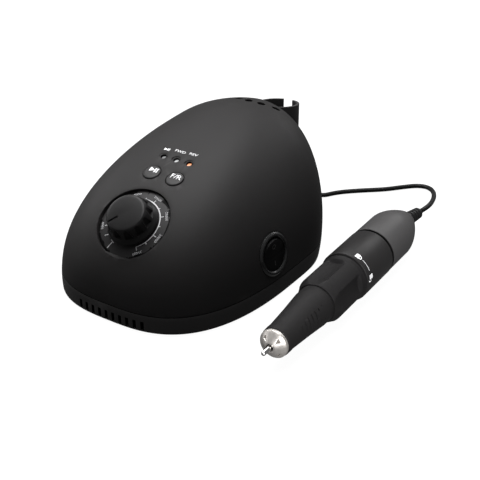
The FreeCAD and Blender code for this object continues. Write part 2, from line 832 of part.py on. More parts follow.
# Play and direction buttons: caps that reach through the shell, kept in by their flanges, each over
# a tact switch on the control board.
tact_top = -(s.button_depth + s.button_travel + 0.05)
tact_low = tact_top - s.tact_plunger - s.tact_height
tacts = []
for side, node in ((-1, "play_button"), (1, "direction_button")):
    place = button_frame.multiply(at(side * float(s.button_offset), 0, 0))
    crown = 0.35
    keep(turned(node + "_cap", [
        (0, -s.button_depth), (2.4, -s.button_depth), (2.4, flange_top - 0.9),
        (s.button_radius + s.button_flange, flange_top - 0.9),
        (s.button_radius + s.button_flange, flange_top), (s.button_radius, flange_top),
        (s.button_radius, crown - 0.45), (s.button_radius - 0.5, crown), (0, crown + 0.1),
    ], place), node)
    base = block("tact_base_%d" % (side + 1), s.tact_side, s.tact_side, s.tact_height,
                 place.multiply(at(0, 0, tact_low)))
    plunger = cylinder("tact_plunger_%d" % (side + 1), 1.7, s.tact_plunger,
                       place.multiply(at(0, 0, tact_top - s.tact_plunger)))
    tacts.append(fuse("tact_%d" % (side + 1), [base, plunger]))
keep(group("TactSwitches", tacts), "tact_switches")

# Control board on the shell's two posts, with the three lights that shine through the shell.
board_y = 5.0
board_length = 26.0
board_width = 34.0
board_plate = block("ControlPlate", board_width, board_length, s.board_thickness,
                    button_frame.multiply(at(0, board_y, tact_low - s.board_thickness)))
board_holes = []
for side in (-1, 1):
    place = button_frame.multiply(at(side * board_post_x, board_post_y, tact_low - s.board_thickness - 1))
    board_holes.append(cylinder("control_hole_%d" % (side + 1), 1.2, s.board_thickness + 2, place))
keep(cut("ControlBoard", board_plate, board_holes), "control_board")
chip = block("ControlChip", 10.0, 10.0, 1.8,
             button_frame.multiply(at(0, board_y + 1, tact_low - s.board_thickness - 1.8)))
keep(chip, "control_chip")
light_top = light_place.z - s.light_recess - 0.2
for column, node in ((-1, "run_light"), (0, "forward_light"), (1, "reverse_light")):
    place = button_frame.multiply(at(column * float(s.light_offset) - float(s.light_shift), light_place.y, 0))
    keep(turned(node + "_guide", [
        (0, tact_low), (s.light_radius + 0.5, tact_low), (s.light_radius + 0.5, tact_low + 1.0),
        (s.light_radius, tact_low + 1.0), (s.light_radius, light_top - 0.4),
        (s.light_radius - 0.4, light_top), (0, light_top),
    ], place), node)

# Rocker switch: round housing pressed in from outside, and the rocker on its two side pins. The
# rocker rests with its lower half, the ON side, pressed in.
seat = -switch_seat
body_low = seat - s.switch_depth
housing = turned("SwitchShell", [
    (0, body_low), (s.switch_body_radius, body_low), (s.switch_body_radius, seat),
    (s.bezel_radius, seat), (s.bezel_radius, seat + s.bezel_height - 0.7),
    (s.bezel_radius - 0.9, seat + s.bezel_height), (s.rocker_room + 0.7, seat + s.bezel_height),
    (s.rocker_room, seat + s.bezel_height - 0.6), (s.rocker_room, seat - 7.2), (0, seat - 7.2),
], switch_frame)
pivot_depth = seat - 1.7
pin_room = s.switch_body_radius - 0.2
pin_hole = cylinder("rocker_pin_hole", s.rocker_pin_radius + s.running_gap, 2 * pin_room,
                    switch_frame.multiply(Placement(Vector(-float(pin_room), 0, float(pivot_depth)),
                                                    Rotation(Vector(0, 1, 0), 90))))
terminals = []
for row in (-1, 0, 1):
    terminals.append(block("terminal_%d" % (row + 1), 4.8, 0.8, 6.0,
                           switch_frame.multiply(at(0, 5.5 * row, body_low - 6.0))))
keep(cut("SwitchHousing", housing, [pin_hole]), "power_switch_housing")
keep(group("SwitchTerminals", terminals), "switch_terminals")

rocker_frame = switch_frame.multiply(Placement(Vector(0, 0, float(pivot_depth)),
                                               Rotation(Vector(1, 0, 0), float(s.rocker_tilt))))
rocker_rise = float(s.bezel_height) + 0.6
tip = float(s.rocker_radius) * math.tan(math.radians(float(s.rocker_tilt)))
edge = float(s.rocker_radius) + 0.2
side_view = [(-edge, -0.6), (-5.0, -3.2), (5.0, -3.2), (edge, -0.6), (edge, rocker_rise + tip),
             (0, rocker_rise), (-edge, rocker_rise + tip)]
corners = [Vector(-edge, y, z) for y, z in side_view]
rocker_face = Part.Face(Part.makePolygon(corners + corners[:1]))
rocker_block = rocker_face.extrude(Vector(2 * edge, 0, 0))
rocker_round = Part.makeCylinder(float(s.rocker_radius), 20, Vector(0, 0, -10))
rocker_pins = Part.makeCylinder(float(s.rocker_pin_radius), 2 * float(pin_room) - 0.3,
                                Vector(-float(pin_room) + 0.15, 0, 0), Vector(1, 0, 0))
rocker_shape = rocker_block.common(rocker_round).fuse(rocker_pins)
keep(solid("PowerRocker", rocker_shape, rocker_frame), "power_rocker")

# Handpiece socket in the back of the shell, with its nut outside.
socket_low = -socket_seat
inner_face = socket_low - float(wall)
contact_bore = s.contact_radius + s.running_gap
socket_end = socket_low + s.nut_height + 0.8
keep(turned("HandpieceSocket", [
    (0, inner_face - s.socket_depth), (s.socket_body_radius, inner_face - s.socket_depth),
    (s.socket_body_radius, inner_face), (s.socket_radius, inner_face),
    (s.socket_radius, socket_end), (contact_bore, socket_end),
    (contact_bore, socket_end - s.contact_length - 0.5), (0, socket_end - s.contact_length - 0.5),
], socket_frame), "handpiece_socket")
keep(hexagon("SocketNut", s.socket_nut_across, as_size(socket_low), s.nut_height,
             s.socket_radius + 0.05, socket_frame), "socket_nut")

# Plug in the socket: contact pin, moulded handle and its ribbed boot.
plug_low = socket_end + s.cord_gap
boot_low = plug_low + s.plug_length
plug_end = boot_low + s.plug_boot_length
PLUG_RIBS = 5
contact = turned("PlugContact", [
    (0, socket_end - s.contact_length), (s.contact_radius - 0.7, socket_end - s.contact_length),
    (s.contact_radius, socket_end - s.contact_length + 1.6),
    (s.contact_radius - 0.45, socket_end - s.contact_length + 2.9),
    (s.contact_radius, socket_end - s.contact_length + 3.6), (s.contact_radius, plug_low + 6),
    (0, plug_low + 6),
], socket_frame)
keep(contact, "plug_contact", cord=True)
handle = [
    (0, plug_low + 6.3), (s.contact_radius + 0.05, plug_low + 6.3), (s.contact_radius + 0.05, plug_low),
    (s.plug_radius - 0.5, plug_low), (s.plug_radius, plug_low + 0.6),
    (s.plug_radius, boot_low - 1.5), (s.plug_radius - 0.9, boot_low),
]
rib_step = s.plug_boot_length / PLUG_RIBS
for index in range(PLUG_RIBS):
    rib_radius = 3.3 - 0.25 * index
    low = boot_low + rib_step * index
    handle += [(rib_radius - 0.8, low), (rib_radius - 0.8, low + 0.9), (rib_radius, low + 1.1),
               (rib_radius - 0.1, low + rib_step)]
handle += [(0, plug_end)]
keep(turned("PlugHandle", handle, socket_frame), "plug_handle", cord=True)

# Mains inlet in the left side: moulded housing with a flange, and its two pins.
inlet_out = -inlet_seat
flange_front = inlet_out + s.inlet_flange_height
inlet_body = block("InletBody", s.inlet_width, s.inlet_rise, s.inlet_depth,
                   inlet_frame.multiply(at(0, 0, inlet_out - s.inlet_depth)))
inlet_rim = block("InletRim", s.inlet_width + 2 * s.inlet_flange, s.inlet_rise + 2 * s.inlet_flange,
                  s.inlet_flange_height, inlet_frame.multiply(at(0, 0, inlet_out)))
recess_low = flange_front - s.recess_depth
round_x = (s.recess_width - s.recess_rise) / 2
recess = [block("RecessMiddle", s.recess_width - s.recess_rise, s.recess_rise, s.recess_depth + 1,
                inlet_frame.multiply(at(0, 0, recess_low)))]
inlet_pins = []
for side in (-1, 1):
    recess.append(cylinder("recess_end_%d" % (side + 1), s.recess_rise / 2, s.recess_depth + 1,
                           inlet_frame.multiply(at(side * float(round_x), 0, recess_low))))
    pin_x = side * float(s.inlet_pin_pitch) / 2
    inlet_pins.append(turned("inlet_pin_%d" % (side + 1), [
        (0, recess_low), (s.inlet_pin_radius, recess_low),
        (s.inlet_pin_radius, recess_low + s.inlet_pin_length - 0.6),
        (s.inlet_pin_radius - 0.5, recess_low + s.inlet_pin_length),
        (0, recess_low + s.inlet_pin_length),
    ], inlet_frame.multiply(at(pin_x, 0, 0))))
inlet_solid = fuse("InletSolid", [inlet_body, inlet_rim])
keep(cut("PowerInlet", inlet_solid, recess), "power_inlet")
keep(group("InletPins", inlet_pins), "inlet_pins")

# Handpiece holder: an upright clip, open behind, its rim cut on a slant.
holder_height = s.holder_high - s.holder_low
clip_outer = cylinder("ClipOuter", clip_radius, holder_height + 8,
                      channel_frame.multiply(at(0, 0, s.holder_low)))
clip_bore = cylinder("ClipBore", s.holder_bore, holder_height + 12,
                     channel_frame.multiply(at(0, 0, s.holder_low - 2)))
clip_slot = block("ClipSlot", s.holder_slot, clip_radius + 2, holder_height + 12,
                  channel_frame.multiply(at(0, clip_radius / 2 + 1 + s.holder_bore / 2,
                                            s.holder_low - 2)))
slant = Placement(Vector(0, float(s.holder_setback), float(s.holder_high)),
                  Rotation(Vector(1, 0, 0), -float(s.holder_slant)))
clip_top = block("ClipTop", 4 * clip_radius, 4 * clip_radius, 12, slant)
clip_tools = [clip_bore, clip_slot, clip_top]
holder_screws = []
for row, height in enumerate(holder_screw_heights):
    place = frame(Vector(0, float(holder_seat_y), float(height)), ACROSS, Vector(0, 1, 0))
    clip_tools.append(cylinder("clip_screw_hole_%d" % row, 1.18, s.holder_wall + 2,
                               place.multiply(at(0, 0, -1))))
    head_low = -(wall + 1.6)
    holder_screws.append(turned("holder_screw_%d" % row, [
        (0, head_low), (2.4, head_low), (2.4, -wall), (1.15, -wall),
        (1.15, s.holder_wall), (0, s.holder_wall),
    ], place))
keep(cut("HandpieceHolder", clip_outer, clip_tools), "handpiece_holder")
keep(group("HolderScrews", holder_screws), "holder_screws")

# Power board on the tray's posts, with two capacitors, the regulator and its heat sink.
board_centre = at(0, -s.power_board_setback, s.power_board_height)
power_plate = block("PowerPlate", s.power_board_width, s.power_board_length, s.board_thickness,
                    board_centre)
plate_top = s.power_board_height + s.board_thickness
power_holes = []
board_screws = []
for index, (x, y) in enumerate(board_screws_at):
    power_holes.append(cylinder("power_hole_%d" % index, 1.2, s.board_thickness + 2,
                                at(x, y, s.power_board_height - 1)))
    board_screws.append(turned("board_screw_%d" % index, [
        (0, plate_top - 5), (1.0, plate_top - 5), (1.0, plate_top), (2.1, plate_top),
        (2.1, plate_top + 1.3), (0, plate_top + 1.6),
    ], at(x, y, 0)))
keep(cut("PowerBoard", power_plate, power_holes), "power_board")
for side in (-1, 1):
    low = tact_low - s.board_thickness
    board_screws.append(turned("control_screw_%d" % (side + 1), [
        (0, low - 1.5), (2.1, low - 1.3), (2.1, low), (1.0, low), (1.0, low + 5), (0, low + 5),
    ], button_frame.multiply(at(side * board_post_x, board_post_y, 0))))
keep(group("BoardScrews", board_screws), "board_screws")
capacitors = []
for row, x in enumerate((-17.0, -5.0)):
    capacitors.append(turned("capacitor_%d" % row, [
        (0, plate_top), (s.capacitor_radius, plate_top),
        (s.capacitor_radius, plate_top + 1.2), (s.capacitor_radius - 0.5, plate_top + 1.9),
        (s.capacitor_radius, plate_top + 2.6), (s.capacitor_radius, plate_top + s.capacitor_height - 0.5),
        (s.capacitor_radius - 0.5, plate_top + s.capacitor_height), (0, plate_top + s.capacitor_height),
    ], at(x, -s.power_board_setback, 0)))
keep(group("FilterCapacitors", capacitors), "filter_capacitors")
sink_y = s.sink_depth / 2 - s.power_board_setback
sink_x = 12.0
sink_base = block("SinkBase", s.sink_width, 2.0, s.sink_height, at(sink_x, sink_y - s.sink_depth / 2 + 1,
                                                                  plate_top))
fins = [sink_base]
fin_count = int(float(s.fin_count))
for index in range(fin_count):
    spacing = (float(s.sink_width) - float(s.fin_thickness)) / (fin_count - 1)
    x = sink_x + (index - (fin_count - 1) / 2) * spacing
    fins.append(block("fin_%d" % index, s.fin_thickness, s.sink_depth, s.sink_height,
                      at(x, sink_y, plate_top)))
keep(fuse("HeatSink", fins), "heat_sink")
regulator_y = float(sink_y) - float(s.sink_depth) / 2
regulator_tab = block("RegulatorTab", 10.0, 1.3, 15.5, at(sink_x, regulator_y - 0.65, plate_top + 3))
regulator_case = block("RegulatorCase", 10.0, 3.2, 9.0, at(sink_x, regulator_y - 2.6, plate_top + 3))
regulator_legs = block("RegulatorLegs", 5.8, 0.6, 3.5, at(sink_x, regulator_y - 2.4, plate_top))
keep(fuse("Regulator", [regulator_tab, regulator_case, regulator_legs]), "regulator")

# Transformer: the laminated core with its middle limb, and the winding round that limb.
core_low = tray_floor_top + 1.0
core_place = at(0, s.transformer_y, core_low)
core_block = block("CoreBlock", s.core_width, s.core_stack, s.core_rise, core_place)
yoke = s.core_limb / 2
window = (s.core_width - 2 * s.core_limb) / 2
windows = []
for side in (-1, 1):
    x = side * (float(s.core_limb) / 2 + float(window) / 2)
    windows.append(block("core_window_%d" % (side + 1), window, s.core_stack + 2,
                         s.core_rise - 2 * yoke, at(x, s.transformer_y, core_low + float(yoke))))
keep(cut("TransformerCore", core_block, windows), "transformer_core")
winding_gap = 0.2
winding_low = core_low + float(yoke) + winding_gap
winding_rise = s.core_rise - 2 * yoke - 2 * winding_gap
winding_block = block("WindingBlock", s.core_limb + 2 * window - 2 * winding_gap, s.winding_length,
                      winding_rise, at(0, s.transformer_y, winding_low))
winding_room = block("WindingRoom", s.core_limb + 2 * winding_gap, s.core_stack + 2 * winding_gap,
                     winding_rise + 2, at(0, s.transformer_y, winding_low - 1))
keep(cut("TransformerWinding", winding_block, [winding_room]), "transformer_winding")

# Handpiece frame: Z runs along its axis from the tip of the pin towards the cord. It lies on the
# table on its barrel, beside the casing.
handpiece = Placement(
    Vector(float(s.handpiece_x), -float(s.handpiece_tip_y), float(s.barrel_radius)),
    Rotation(Vector(1, 0, 0), -90),
)


def handpiece_piece(node, corners):
    return keep(turned(node.title().replace("_", ""), corners, handpiece), node)


# Pin that the collet holds, with its rounded end.
handpiece_piece("transit_pin", [
    (0, 0), (0.7, 0.15), (1.05, 0.55), (s.pin_radius, 1.1), (s.pin_radius, s.pin_length - 0.4),
    (s.pin_radius - 0.4, s.pin_length), (0, s.pin_length),
])

# Nose: shallow metal cone with a polished rim, four spanner pits and a neck inside the tube.
neck_radius = s.tube_bore + 0.55
nose_back = s.grip_start - 0.2
nose = turned("NoseCone", [
    (s.nose_mouth_radius, s.nose_mouth), (2.8, s.nose_mouth), (s.nose_radius - 0.4, s.nose_rim - 0.3),
    (s.nose_radius, s.nose_rim + 0.3), (s.nose_radius, nose_back), (neck_radius, nose_back),
    (neck_radius, nose_back + 6), (s.tube_bore - 0.8, nose_back + 6), (s.tube_bore - 0.8, 10.8),
    (s.nose_mouth_radius, 9.4),
], handpiece)
pits = []
PIT_COUNT = 4
for index in range(PIT_COUNT):
    turn = Placement(Vector(), Rotation(Vector(0, 0, 1), 360.0 * index / PIT_COUNT + 45))
    corner = [Vector(3.6, 0, 5), Vector(5.7, -1.15, 5), Vector(5.7, 1.15, 5)]
    pit = Part.Face(Part.makePolygon(corner + corner[:1])).extrude(Vector(0, 0, 4.4))
    pit.Placement = handpiece.multiply(turn)
    pits.append(solid("PitTool%d" % index, pit))
keep(cut("NoseConeCut", nose, pits), "nose_cone")

# Grip: rubber-coated sleeve that flares towards the collar, with short grooves on two sides.
grip_end = s.collar_start + 5
grip_bore = s.tube_radius + 0.05
grip = turned("GripSleeve", [
    (grip_bore, s.grip_start), (s.grip_front_radius - 0.5, s.grip_start),
    (s.grip_front_radius, s.grip_start + 0.6), (s.grip_front_radius + 0.1, s.grip_start + 3),
    (s.grip_front_radius, s.grip_start + 6), (s.grip_middle_radius, s.grip_start + 20),
    (s.grip_rear_radius, s.collar_start - 6), (s.grip_rear_radius, s.collar_start - 0.4),
    (s.collar_bore - 0.3, s.collar_start - 0.2), (s.collar_bore - 0.3, grip_end), (grip_bore, grip_end),
], handpiece)
groove_tools = []
GROOVES = 7
for side in (-1, 1):
    for index in range(GROOVES):
        station = float(s.grip_start) + 12 + 3.0 * index
        radius = float(s.grip_middle_radius) + 0.75 + 0.02 * index
        groove = Part.makeBox(1.2, 7.0, 0.9, Vector(radius - 1.6, -3.5, station))
        turn = Placement(Vector(), Rotation(Vector(0, 0, 1), -20.0 if side > 0 else 160.0))
        groove.Placement = handpiece.multiply(turn)
        groove_tools.append(solid("GrooveTool%d%d" % (side + 1, index), groove))
keep(cut("GripSleeveCut", grip, groove_tools), "grip_sleeve")

# Spindle tube: the steel core that carries the bearings, with a flange inside the barrel.
flange_low = s.barrel_start + 1.4
slot_station = 62.0
ring_low = slot_station - 0.8
tube = turned("SpindleTube", [
    (neck_radius + 0.1, s.grip_start + 0.1), (s.tube_radius, s.grip_start + 0.1),
    (s.tube_radius, flange_low), (s.barrel_radius - s.barrel_wall - 0.05, flange_low),
    (s.barrel_radius - s.barrel_wall - 0.05, flange_low + 3), (s.tube_bore, flange_low + 3),
    (s.tube_bore, s.grip_start + 6.4), (neck_radius + 0.1, s.grip_start + 6.4),
], handpiece)
peg_radius = 1.0
peg_slot = block("PegSlot", 2 * peg_radius + 0.1, 3 * s.tube_radius,
                 2 * peg_radius + s.cam_travel + 0.6,
                 handpiece.multiply(at(0, 0, slot_station + 1.1 - s.cam_travel - 0.3)))
keep(cut("SpindleTubeCut", tube, [peg_slot]), "spindle_tube")

# Two ball bearings, each drawn as one ring that the spindle turns in.
front_bearing_at = s.grip_start + 7.0
rear_bearing_at = as_size(70.0)
for node, station in (("front_bearing", front_bearing_at), ("rear_bearing", rear_bearing_at)):
    handpiece_piece(node, [
        (s.spindle_radius + s.running_gap, station), (s.tube_bore - 0.05, station),
        (s.tube_bore - 0.05, station + s.bearing_width),
        (s.spindle_radius + s.running_gap, station + s.bearing_width),
    ])

# Spindle shaft: hollow for the collet and drawbar, slotted for the cross pin.
spindle_front = as_size(14.6)
spindle_back = as_size(79.0)
drawbar_end = as_size(66.0)
shaft = turned("SpindleShaft", [
    (s.spindle_bore + 0.6, spindle_front), (s.spindle_radius, spindle_front),
    (s.spindle_radius, spindle_back), (0, spindle_back), (0, drawbar_end + 1.0),
    (s.spindle_bore, drawbar_end + 1.0), (s.spindle_bore, spindle_front + 1.5),
], handpiece)
cross_radius = 0.7
pin_slot = block("CrossPinSlot", 2 * cross_radius + 0.1, 3 * s.spindle_radius,
                 2 * cross_radius + s.collet_travel + 0.4,
                 handpiece.multiply(at(0, 0, slot_station - cross_radius - s.collet_travel - 0.2)))
keep(cut("SpindleShaftCut", shaft, [pin_slot]), "spindle_shaft")

# Collet with its head in front of the spindle, sawn into three jaws.
collet_front = as_size(12.2)
collet_back = s.pin_length + 4
collet = turned("Collet", [
    (s.pin_radius + 0.03, collet_front), (2.3, collet_front), (2.75, collet_front + 0.8),
    (2.75, spindle_front - 0.4), (s.spindle_bore - s.running_gap, spindle_front + 0.9),
    (s.spindle_bore - s.running_gap, collet_back), (0, collet_back), (0, s.pin_length + 0.4),
    (s.pin_radius + 0.03, s.pin_length + 0.4),
], handpiece)
saw_cuts = []
JAWS = 3
for index in range(JAWS):
    turn = Rotation(Vector(0, 0, 1), 360.0 / JAWS * index)
    cutter = Part.makeBox(4, 0.35, 14, Vector(0, -0.175, float(collet_front) - 1))
    cutter.Placement = handpiece.multiply(Placement(Vector(), turn))
    saw_cuts.append(solid("SawTool%d" % index, cutter))
keep(cut("ColletCut", collet, saw_cuts), "collet")

# Drawbar behind the collet, the cross pin through it, and the thrust ring that the pin carries.
spring_low = collet_back + 2.2
spring_high = spring_low + 12
rod_radius = s.spindle_bore - 0.85
drawbar = turned("Drawbar", [
    (0, collet_back), (s.spindle_bore - s.running_gap, collet_back),
    (s.spindle_bore - s.running_gap, spring_low - 1.2), (rod_radius, spring_low - 1.2),
    (rod_radius, spring_high + 3), (s.spindle_bore - s.running_gap, spring_high + 3),
    (s.spindle_bore - s.running_gap, drawbar_end - 0.5), (0, drawbar_end - 0.5),
], handpiece)
thrust_radius = 4.3


def cross_rod(name, radius):
    """Round bar across the handpiece's axis at the slots."""
    across = Placement(Vector(0, thrust_radius - 0.3, slot_station), Rotation(Vector(1, 0, 0), 90))
    return cylinder(name, radius, 2 * thrust_radius - 0.6, handpiece.multiply(across))


keep(cut("DrawbarCut", drawbar, [cross_rod("DrawbarHole", cross_radius + 0.02)]), "drawbar")
keep(cross_rod("CrossPin", as_size(cross_radius)), "cross_pin")
ring = turned("ThrustRing", [
    (s.spindle_radius + 0.1, slot_station - 1.6), (thrust_radius, slot_station - 1.6),
    (thrust_radius, slot_station + 0.9), (s.spindle_radius + 0.1, slot_station + 0.9),
], handpiece)
keep(cut("ThrustRingCut", ring, [cross_rod("RingHole", cross_radius + 0.02)]), "thrust_ring")

# Disc springs in the spindle's bore, which draw the collet back.
discs = []
DISCS = 8
disc_step = (spring_high - spring_low) / DISCS
for index in range(DISCS):
    low = spring_low + disc_step * index
    discs.append(turned("disc_spring_%d" % index, [
        (rod_radius + 0.08, low + 0.1), (s.spindle_bore - 0.06, low + 0.5),
        (s.spindle_bore - 0.06, low + 1.3), (rod_radius + 0.08, low + 0.9),
    ], handpiece))
keep(group("DiscSprings", discs), "disc_springs")

# Cam sleeve on the tube, with two pegs that reach through the tube's slots behind the thrust ring.
sleeve_low = slot_station - 4.0
sleeve_high = slot_station + 8.0
sleeve_bore = s.tube_radius + 0.1
sleeve = turned("CamSleeve", [
    (sleeve_bore, sleeve_low), (s.collar_bore - 0.4, sleeve_low), (s.collar_bore - 0.4, sleeve_high),
    (sleeve_bore, sleeve_high),
], handpiece)
pegs = []
peg_station = slot_station + 1.2 + peg_radius
for side in (-1, 1):
    inner = thrust_radius - 0.8
    length = float(sleeve_bore) + 1.0 - inner
    start = side * inner
    pegs.append(cylinder("cam_peg_%d" % (side + 1), peg_radius, length,
                         handpiece.multiply(Placement(Vector(0, start, peg_station),
                                                      Rotation(Vector(1, 0, 0), -90.0 * side)))))
keep(fuse("CamSleeveFused", [sleeve] + pegs), "cam_sleeve")

# Lock collar: turns between the grip and the barrel, with large scallops between its lands.
collar_end = s.barrel_start - 0.3
collar = turned("LockCollar", [
    (s.collar_bore, s.collar_start), (s.grip_rear_radius + 0.5, s.collar_start),
    (s.collar_radius - 0.5, s.collar_start + 3.6), (s.collar_radius, s.collar_start + 4.6),
    (s.collar_radius, collar_end - 1.6), (s.collar_radius + 0.3, collar_end - 1.1),
    (s.collar_radius + 0.3, collar_end), (s.collar_bore, collar_end),
], handpiece)
scallop_centre = s.collar_radius - s.scallop_depth + s.scallop_radius
scallop = circle_sketch(collar, "scallop_circle", scallop_centre, 0, s.scallop_radius)
scallop_cut = pocket(collar, "scallop", scallop, collar_end - 4.0, True)
around(collar, "scallops", scallop_cut, scallop, s.scallop_count)
keep(collar, "lock_collar")

# Barrel: front wall round the tube, motor housing and the thinner neck that the cap fits over.
barrel_bore = s.barrel_radius - s.barrel_wall
neck_outer = s.cap_radius - s.cap_wall - 0.1
neck_start = s.cap_start - 1.4
handpiece_piece("barrel", [
    (s.tube_radius + 0.05, s.barrel_start), (s.barrel_radius - 0.4, s.barrel_start),
    (s.barrel_radius, s.barrel_start + 0.4), (s.barrel_radius, neck_start),
    (neck_outer, neck_start), (neck_outer, neck_start + 9), (barrel_bore, neck_start + 9),
    (barrel_bore, s.barrel_start + 1.35), (s.tube_radius + 0.05, s.barrel_start + 1.35),
])

# Rear cap: its end narrows in a long curve to the hole for the boot.
cap_bore = s.cap_radius - s.cap_wall
boot_neck = s.boot_radius - 0.85
CAP_STEPS = 8
CAP_POWER = 1.5
cap_corners = [(cap_bore, s.cap_start), (s.cap_radius - 0.3, s.cap_start), (s.cap_radius, s.cap_start + 0.3)]
cap_run = s.cap_end - s.cap_shoulder
cap_drop = s.cap_radius - s.cap_end_radius
for index in range(CAP_STEPS + 1):
    share = index / CAP_STEPS
    along = s.cap_shoulder + (cap_run - 0.8) * share
    cap_corners.append((s.cap_radius - cap_drop * round(share ** CAP_POWER, 4), along))
cap_corners.append((s.cap_end_radius - 0.8, s.cap_end))
cap_corners += [
    (boot_neck + 0.1, s.cap_end), (boot_neck + 0.1, s.cap_end - 2.4),
    (s.cap_end_radius - 1.2, s.cap_end - 2.4), (cap_bore, s.cap_shoulder + 1.0),
]
handpiece_piece("rear_cap", cap_corners)

# Motor: can with its front plate, magnets, end cap, and the rotor on its shaft.
can_bore = s.motor_radius - s.motor_wall
handpiece_piece("motor_can", [
    (5.0, s.motor_start), (s.motor_radius, s.motor_start), (s.motor_radius, s.motor_end),
    (can_bore, s.motor_end), (can_bore, s.motor_start + 1.5), (5.0, s.motor_start + 1.5),
])
magnet_bore = can_bore - s.magnet_thickness
handpiece_piece("motor_magnets", [
    (magnet_bore, s.motor_start + 4), (can_bore - 0.05, s.motor_start + 4),
    (can_bore - 0.05, s.motor_end - 12), (magnet_bore, s.motor_end - 12),
])
handpiece_piece("motor_end_cap", [
    (s.motor_shaft_radius + s.running_gap, s.motor_end - 3),
    (can_bore - 0.05, s.motor_end - 3), (can_bore - 0.05, s.motor_end),
    (s.motor_radius - 0.4, s.motor_end), (s.motor_radius - 0.4, s.motor_end + 1.5),
    (s.motor_shaft_radius + s.running_gap, s.motor_end + 1.5),
])
shaft_start = as_size(81.0)
handpiece_piece("motor_rotor", [
    (0, shaft_start), (s.motor_shaft_radius, shaft_start),
    (s.motor_shaft_radius, s.motor_start + 6), (s.rotor_radius, s.motor_start + 6),
    (s.rotor_radius, s.motor_end - 14), (4.0, s.motor_end - 14), (4.0, s.motor_end - 5),
    (s.motor_shaft_radius, s.motor_end - 5), (s.motor_shaft_radius, s.motor_end + 2), (0, s.motor_end + 2),
])
handpiece_piece("drive_coupling", [
    (s.spindle_radius + 0.02, spindle_back - 2.6), (4.4, spindle_back - 2.6),
    (4.4, s.motor_start + 2), (s.motor_shaft_radius + 0.02, s.motor_start + 2),
    (s.motor_shaft_radius + 0.02, shaft_start - 0.2), (s.motor_shaft_radius + 0.02, spindle_back + 0.4),
    (s.spindle_radius + 0.02, spindle_back + 0.4),
])

# Cord boot: flange inside the cap, and outside it a ribbed sleeve that leans with the cord and ends
# round, where the cord leaves.
boot_frame = handpiece.multiply(Placement(Vector(0, 0, float(s.cap_end)),
                                          Rotation(Vector(0, 1, 0), float(s.boot_tilt))))
boot_root = turned("BootRoot", [
    (0, s.cap_end - 4.2), (s.boot_radius + 1.4, s.cap_end - 4.2), (s.boot_radius + 1.4, s.cap_end - 2.6),
    (boot_neck, s.cap_end - 2.6), (boot_neck, s.cap_end), (0, s.cap_end),
], handpiece)
boot_corners = [(0, -1.0), (boot_neck - 0.15, -1.0), (boot_neck - 0.15, 1.0)]
boot_rib_count = int(float(s.boot_rib_count))
boot_step = (s.boot_length - 1.2) / boot_rib_count
for index in range(boot_rib_count):
    low = 1.0 + boot_step * index
    rib = s.boot_radius - 0.17 * index
    boot_corners += [(rib, low + 0.05), (rib, low + boot_step * 0.6), (rib - 0.7, low + boot_step * 0.7),
                     (rib - 0.7, low + boot_step)]
BALL_STEPS = 6
for index in range(BALL_STEPS + 1):
    turn = math.pi / 2 * index / BALL_STEPS
    across = s.boot_ball_radius * round(math.cos(turn), 4)
    if index == BALL_STEPS:
        across = 0
    boot_corners.append((across, s.boot_length + s.boot_ball_radius * round(math.sin(turn), 4)))
boot_sleeve = turned("BootSleeve", boot_corners, boot_frame)
keep(fuse("CordBoot", [boot_root, boot_sleeve]), "cord_boot")


# Cord: a tube along straight runs joined by tangent arcs, each arc as large as its runs allow.
ARC_SHARE = 0.45


def tube_along(points, radius, label):
    """Tube of a radius along a route, and a printed line with its arcs and its volume."""
    edges = []
    radii = []
    start = points[0]
    for before, corner, after in zip(points, points[1:], points[2:]):
        back = (before - corner)
        ahead = (after - corner)
        shorter = min(back.Length, ahead.Length)
        back.normalize()
        ahead.normalize()
        turn = math.pi - back.getAngle(ahead)
        trim = ARC_SHARE * shorter
        radii.append(trim / math.tan(turn / 2))
        first = corner + back * trim
        last = corner + ahead * trim
        bisector = (back + ahead).normalize()
        middle = corner + bisector * (radii[-1] / math.cos(turn / 2) - radii[-1])
        edges.append(Part.LineSegment(start, first).toShape())
        edges.append(Part.Arc(first, middle, last).toShape())
        start = last
    edges.append(Part.LineSegment(start, points[-1]).toShape())
    path = Part.Wire(edges)
    circle = Part.Circle(points[0], points[1] - points[0], radius)
    profile = Part.Wire([circle.toShape()])
    tube = path.makePipeShell([profile], True, False)
    expected = math.pi * radius ** 2 * path.Length
    print("%s: least arc %.1f mm, length %.1f mm, volume %.4f of its section times its length"
          % (label, min(radii), path.Length, tube.Volume / expected))
    return tube


def biarc(start, start_way, end, end_way):
    """Two arcs that leave start along start_way and reach end along end_way."""
    span = end - start
    ways = start_way + end_way
    spread = 2 * (1 - start_way.dot(end_way))
    reach = span.dot(ways)
    arm = (math.sqrt(reach ** 2 + spread * span.dot(span)) - reach) / spread
    joint = (start + end + (start_way - end_way) * arm) * 0.5
    first = Part.Arc(start, bend_middle(start, start_way, joint), joint)
    second = Part.Arc(joint, bend_middle(end, end_way * -1, joint), end)
    return [first.toShape(), second.toShape()]


def bend_middle(start, way, end):
    """Middle of the arc from start to end that leaves start along way."""
    chord = end - start
    side = chord - way * chord.dot(way)
    side.normalize()
    radius = chord.dot(chord) / (2 * chord.dot(side))
    centre = start + side * radius
    return centre + ((start + end) * 0.5 - centre).normalize() * radius


def as_route(rows):
    return [Vector(float(x), float(y), float(z)) for x, y, z in rows]


cord_radius = float(s.cord_radius)
floor_line = cord_radius + 0.1
boot_end = float(s.boot_length) + float(s.boot_ball_radius)
cord_start = boot_frame.multVec(Vector(0, 0, boot_end + float(s.cord_gap)))
cord_way = boot_frame.Rotation.multVec(Vector(0, 0, 1))

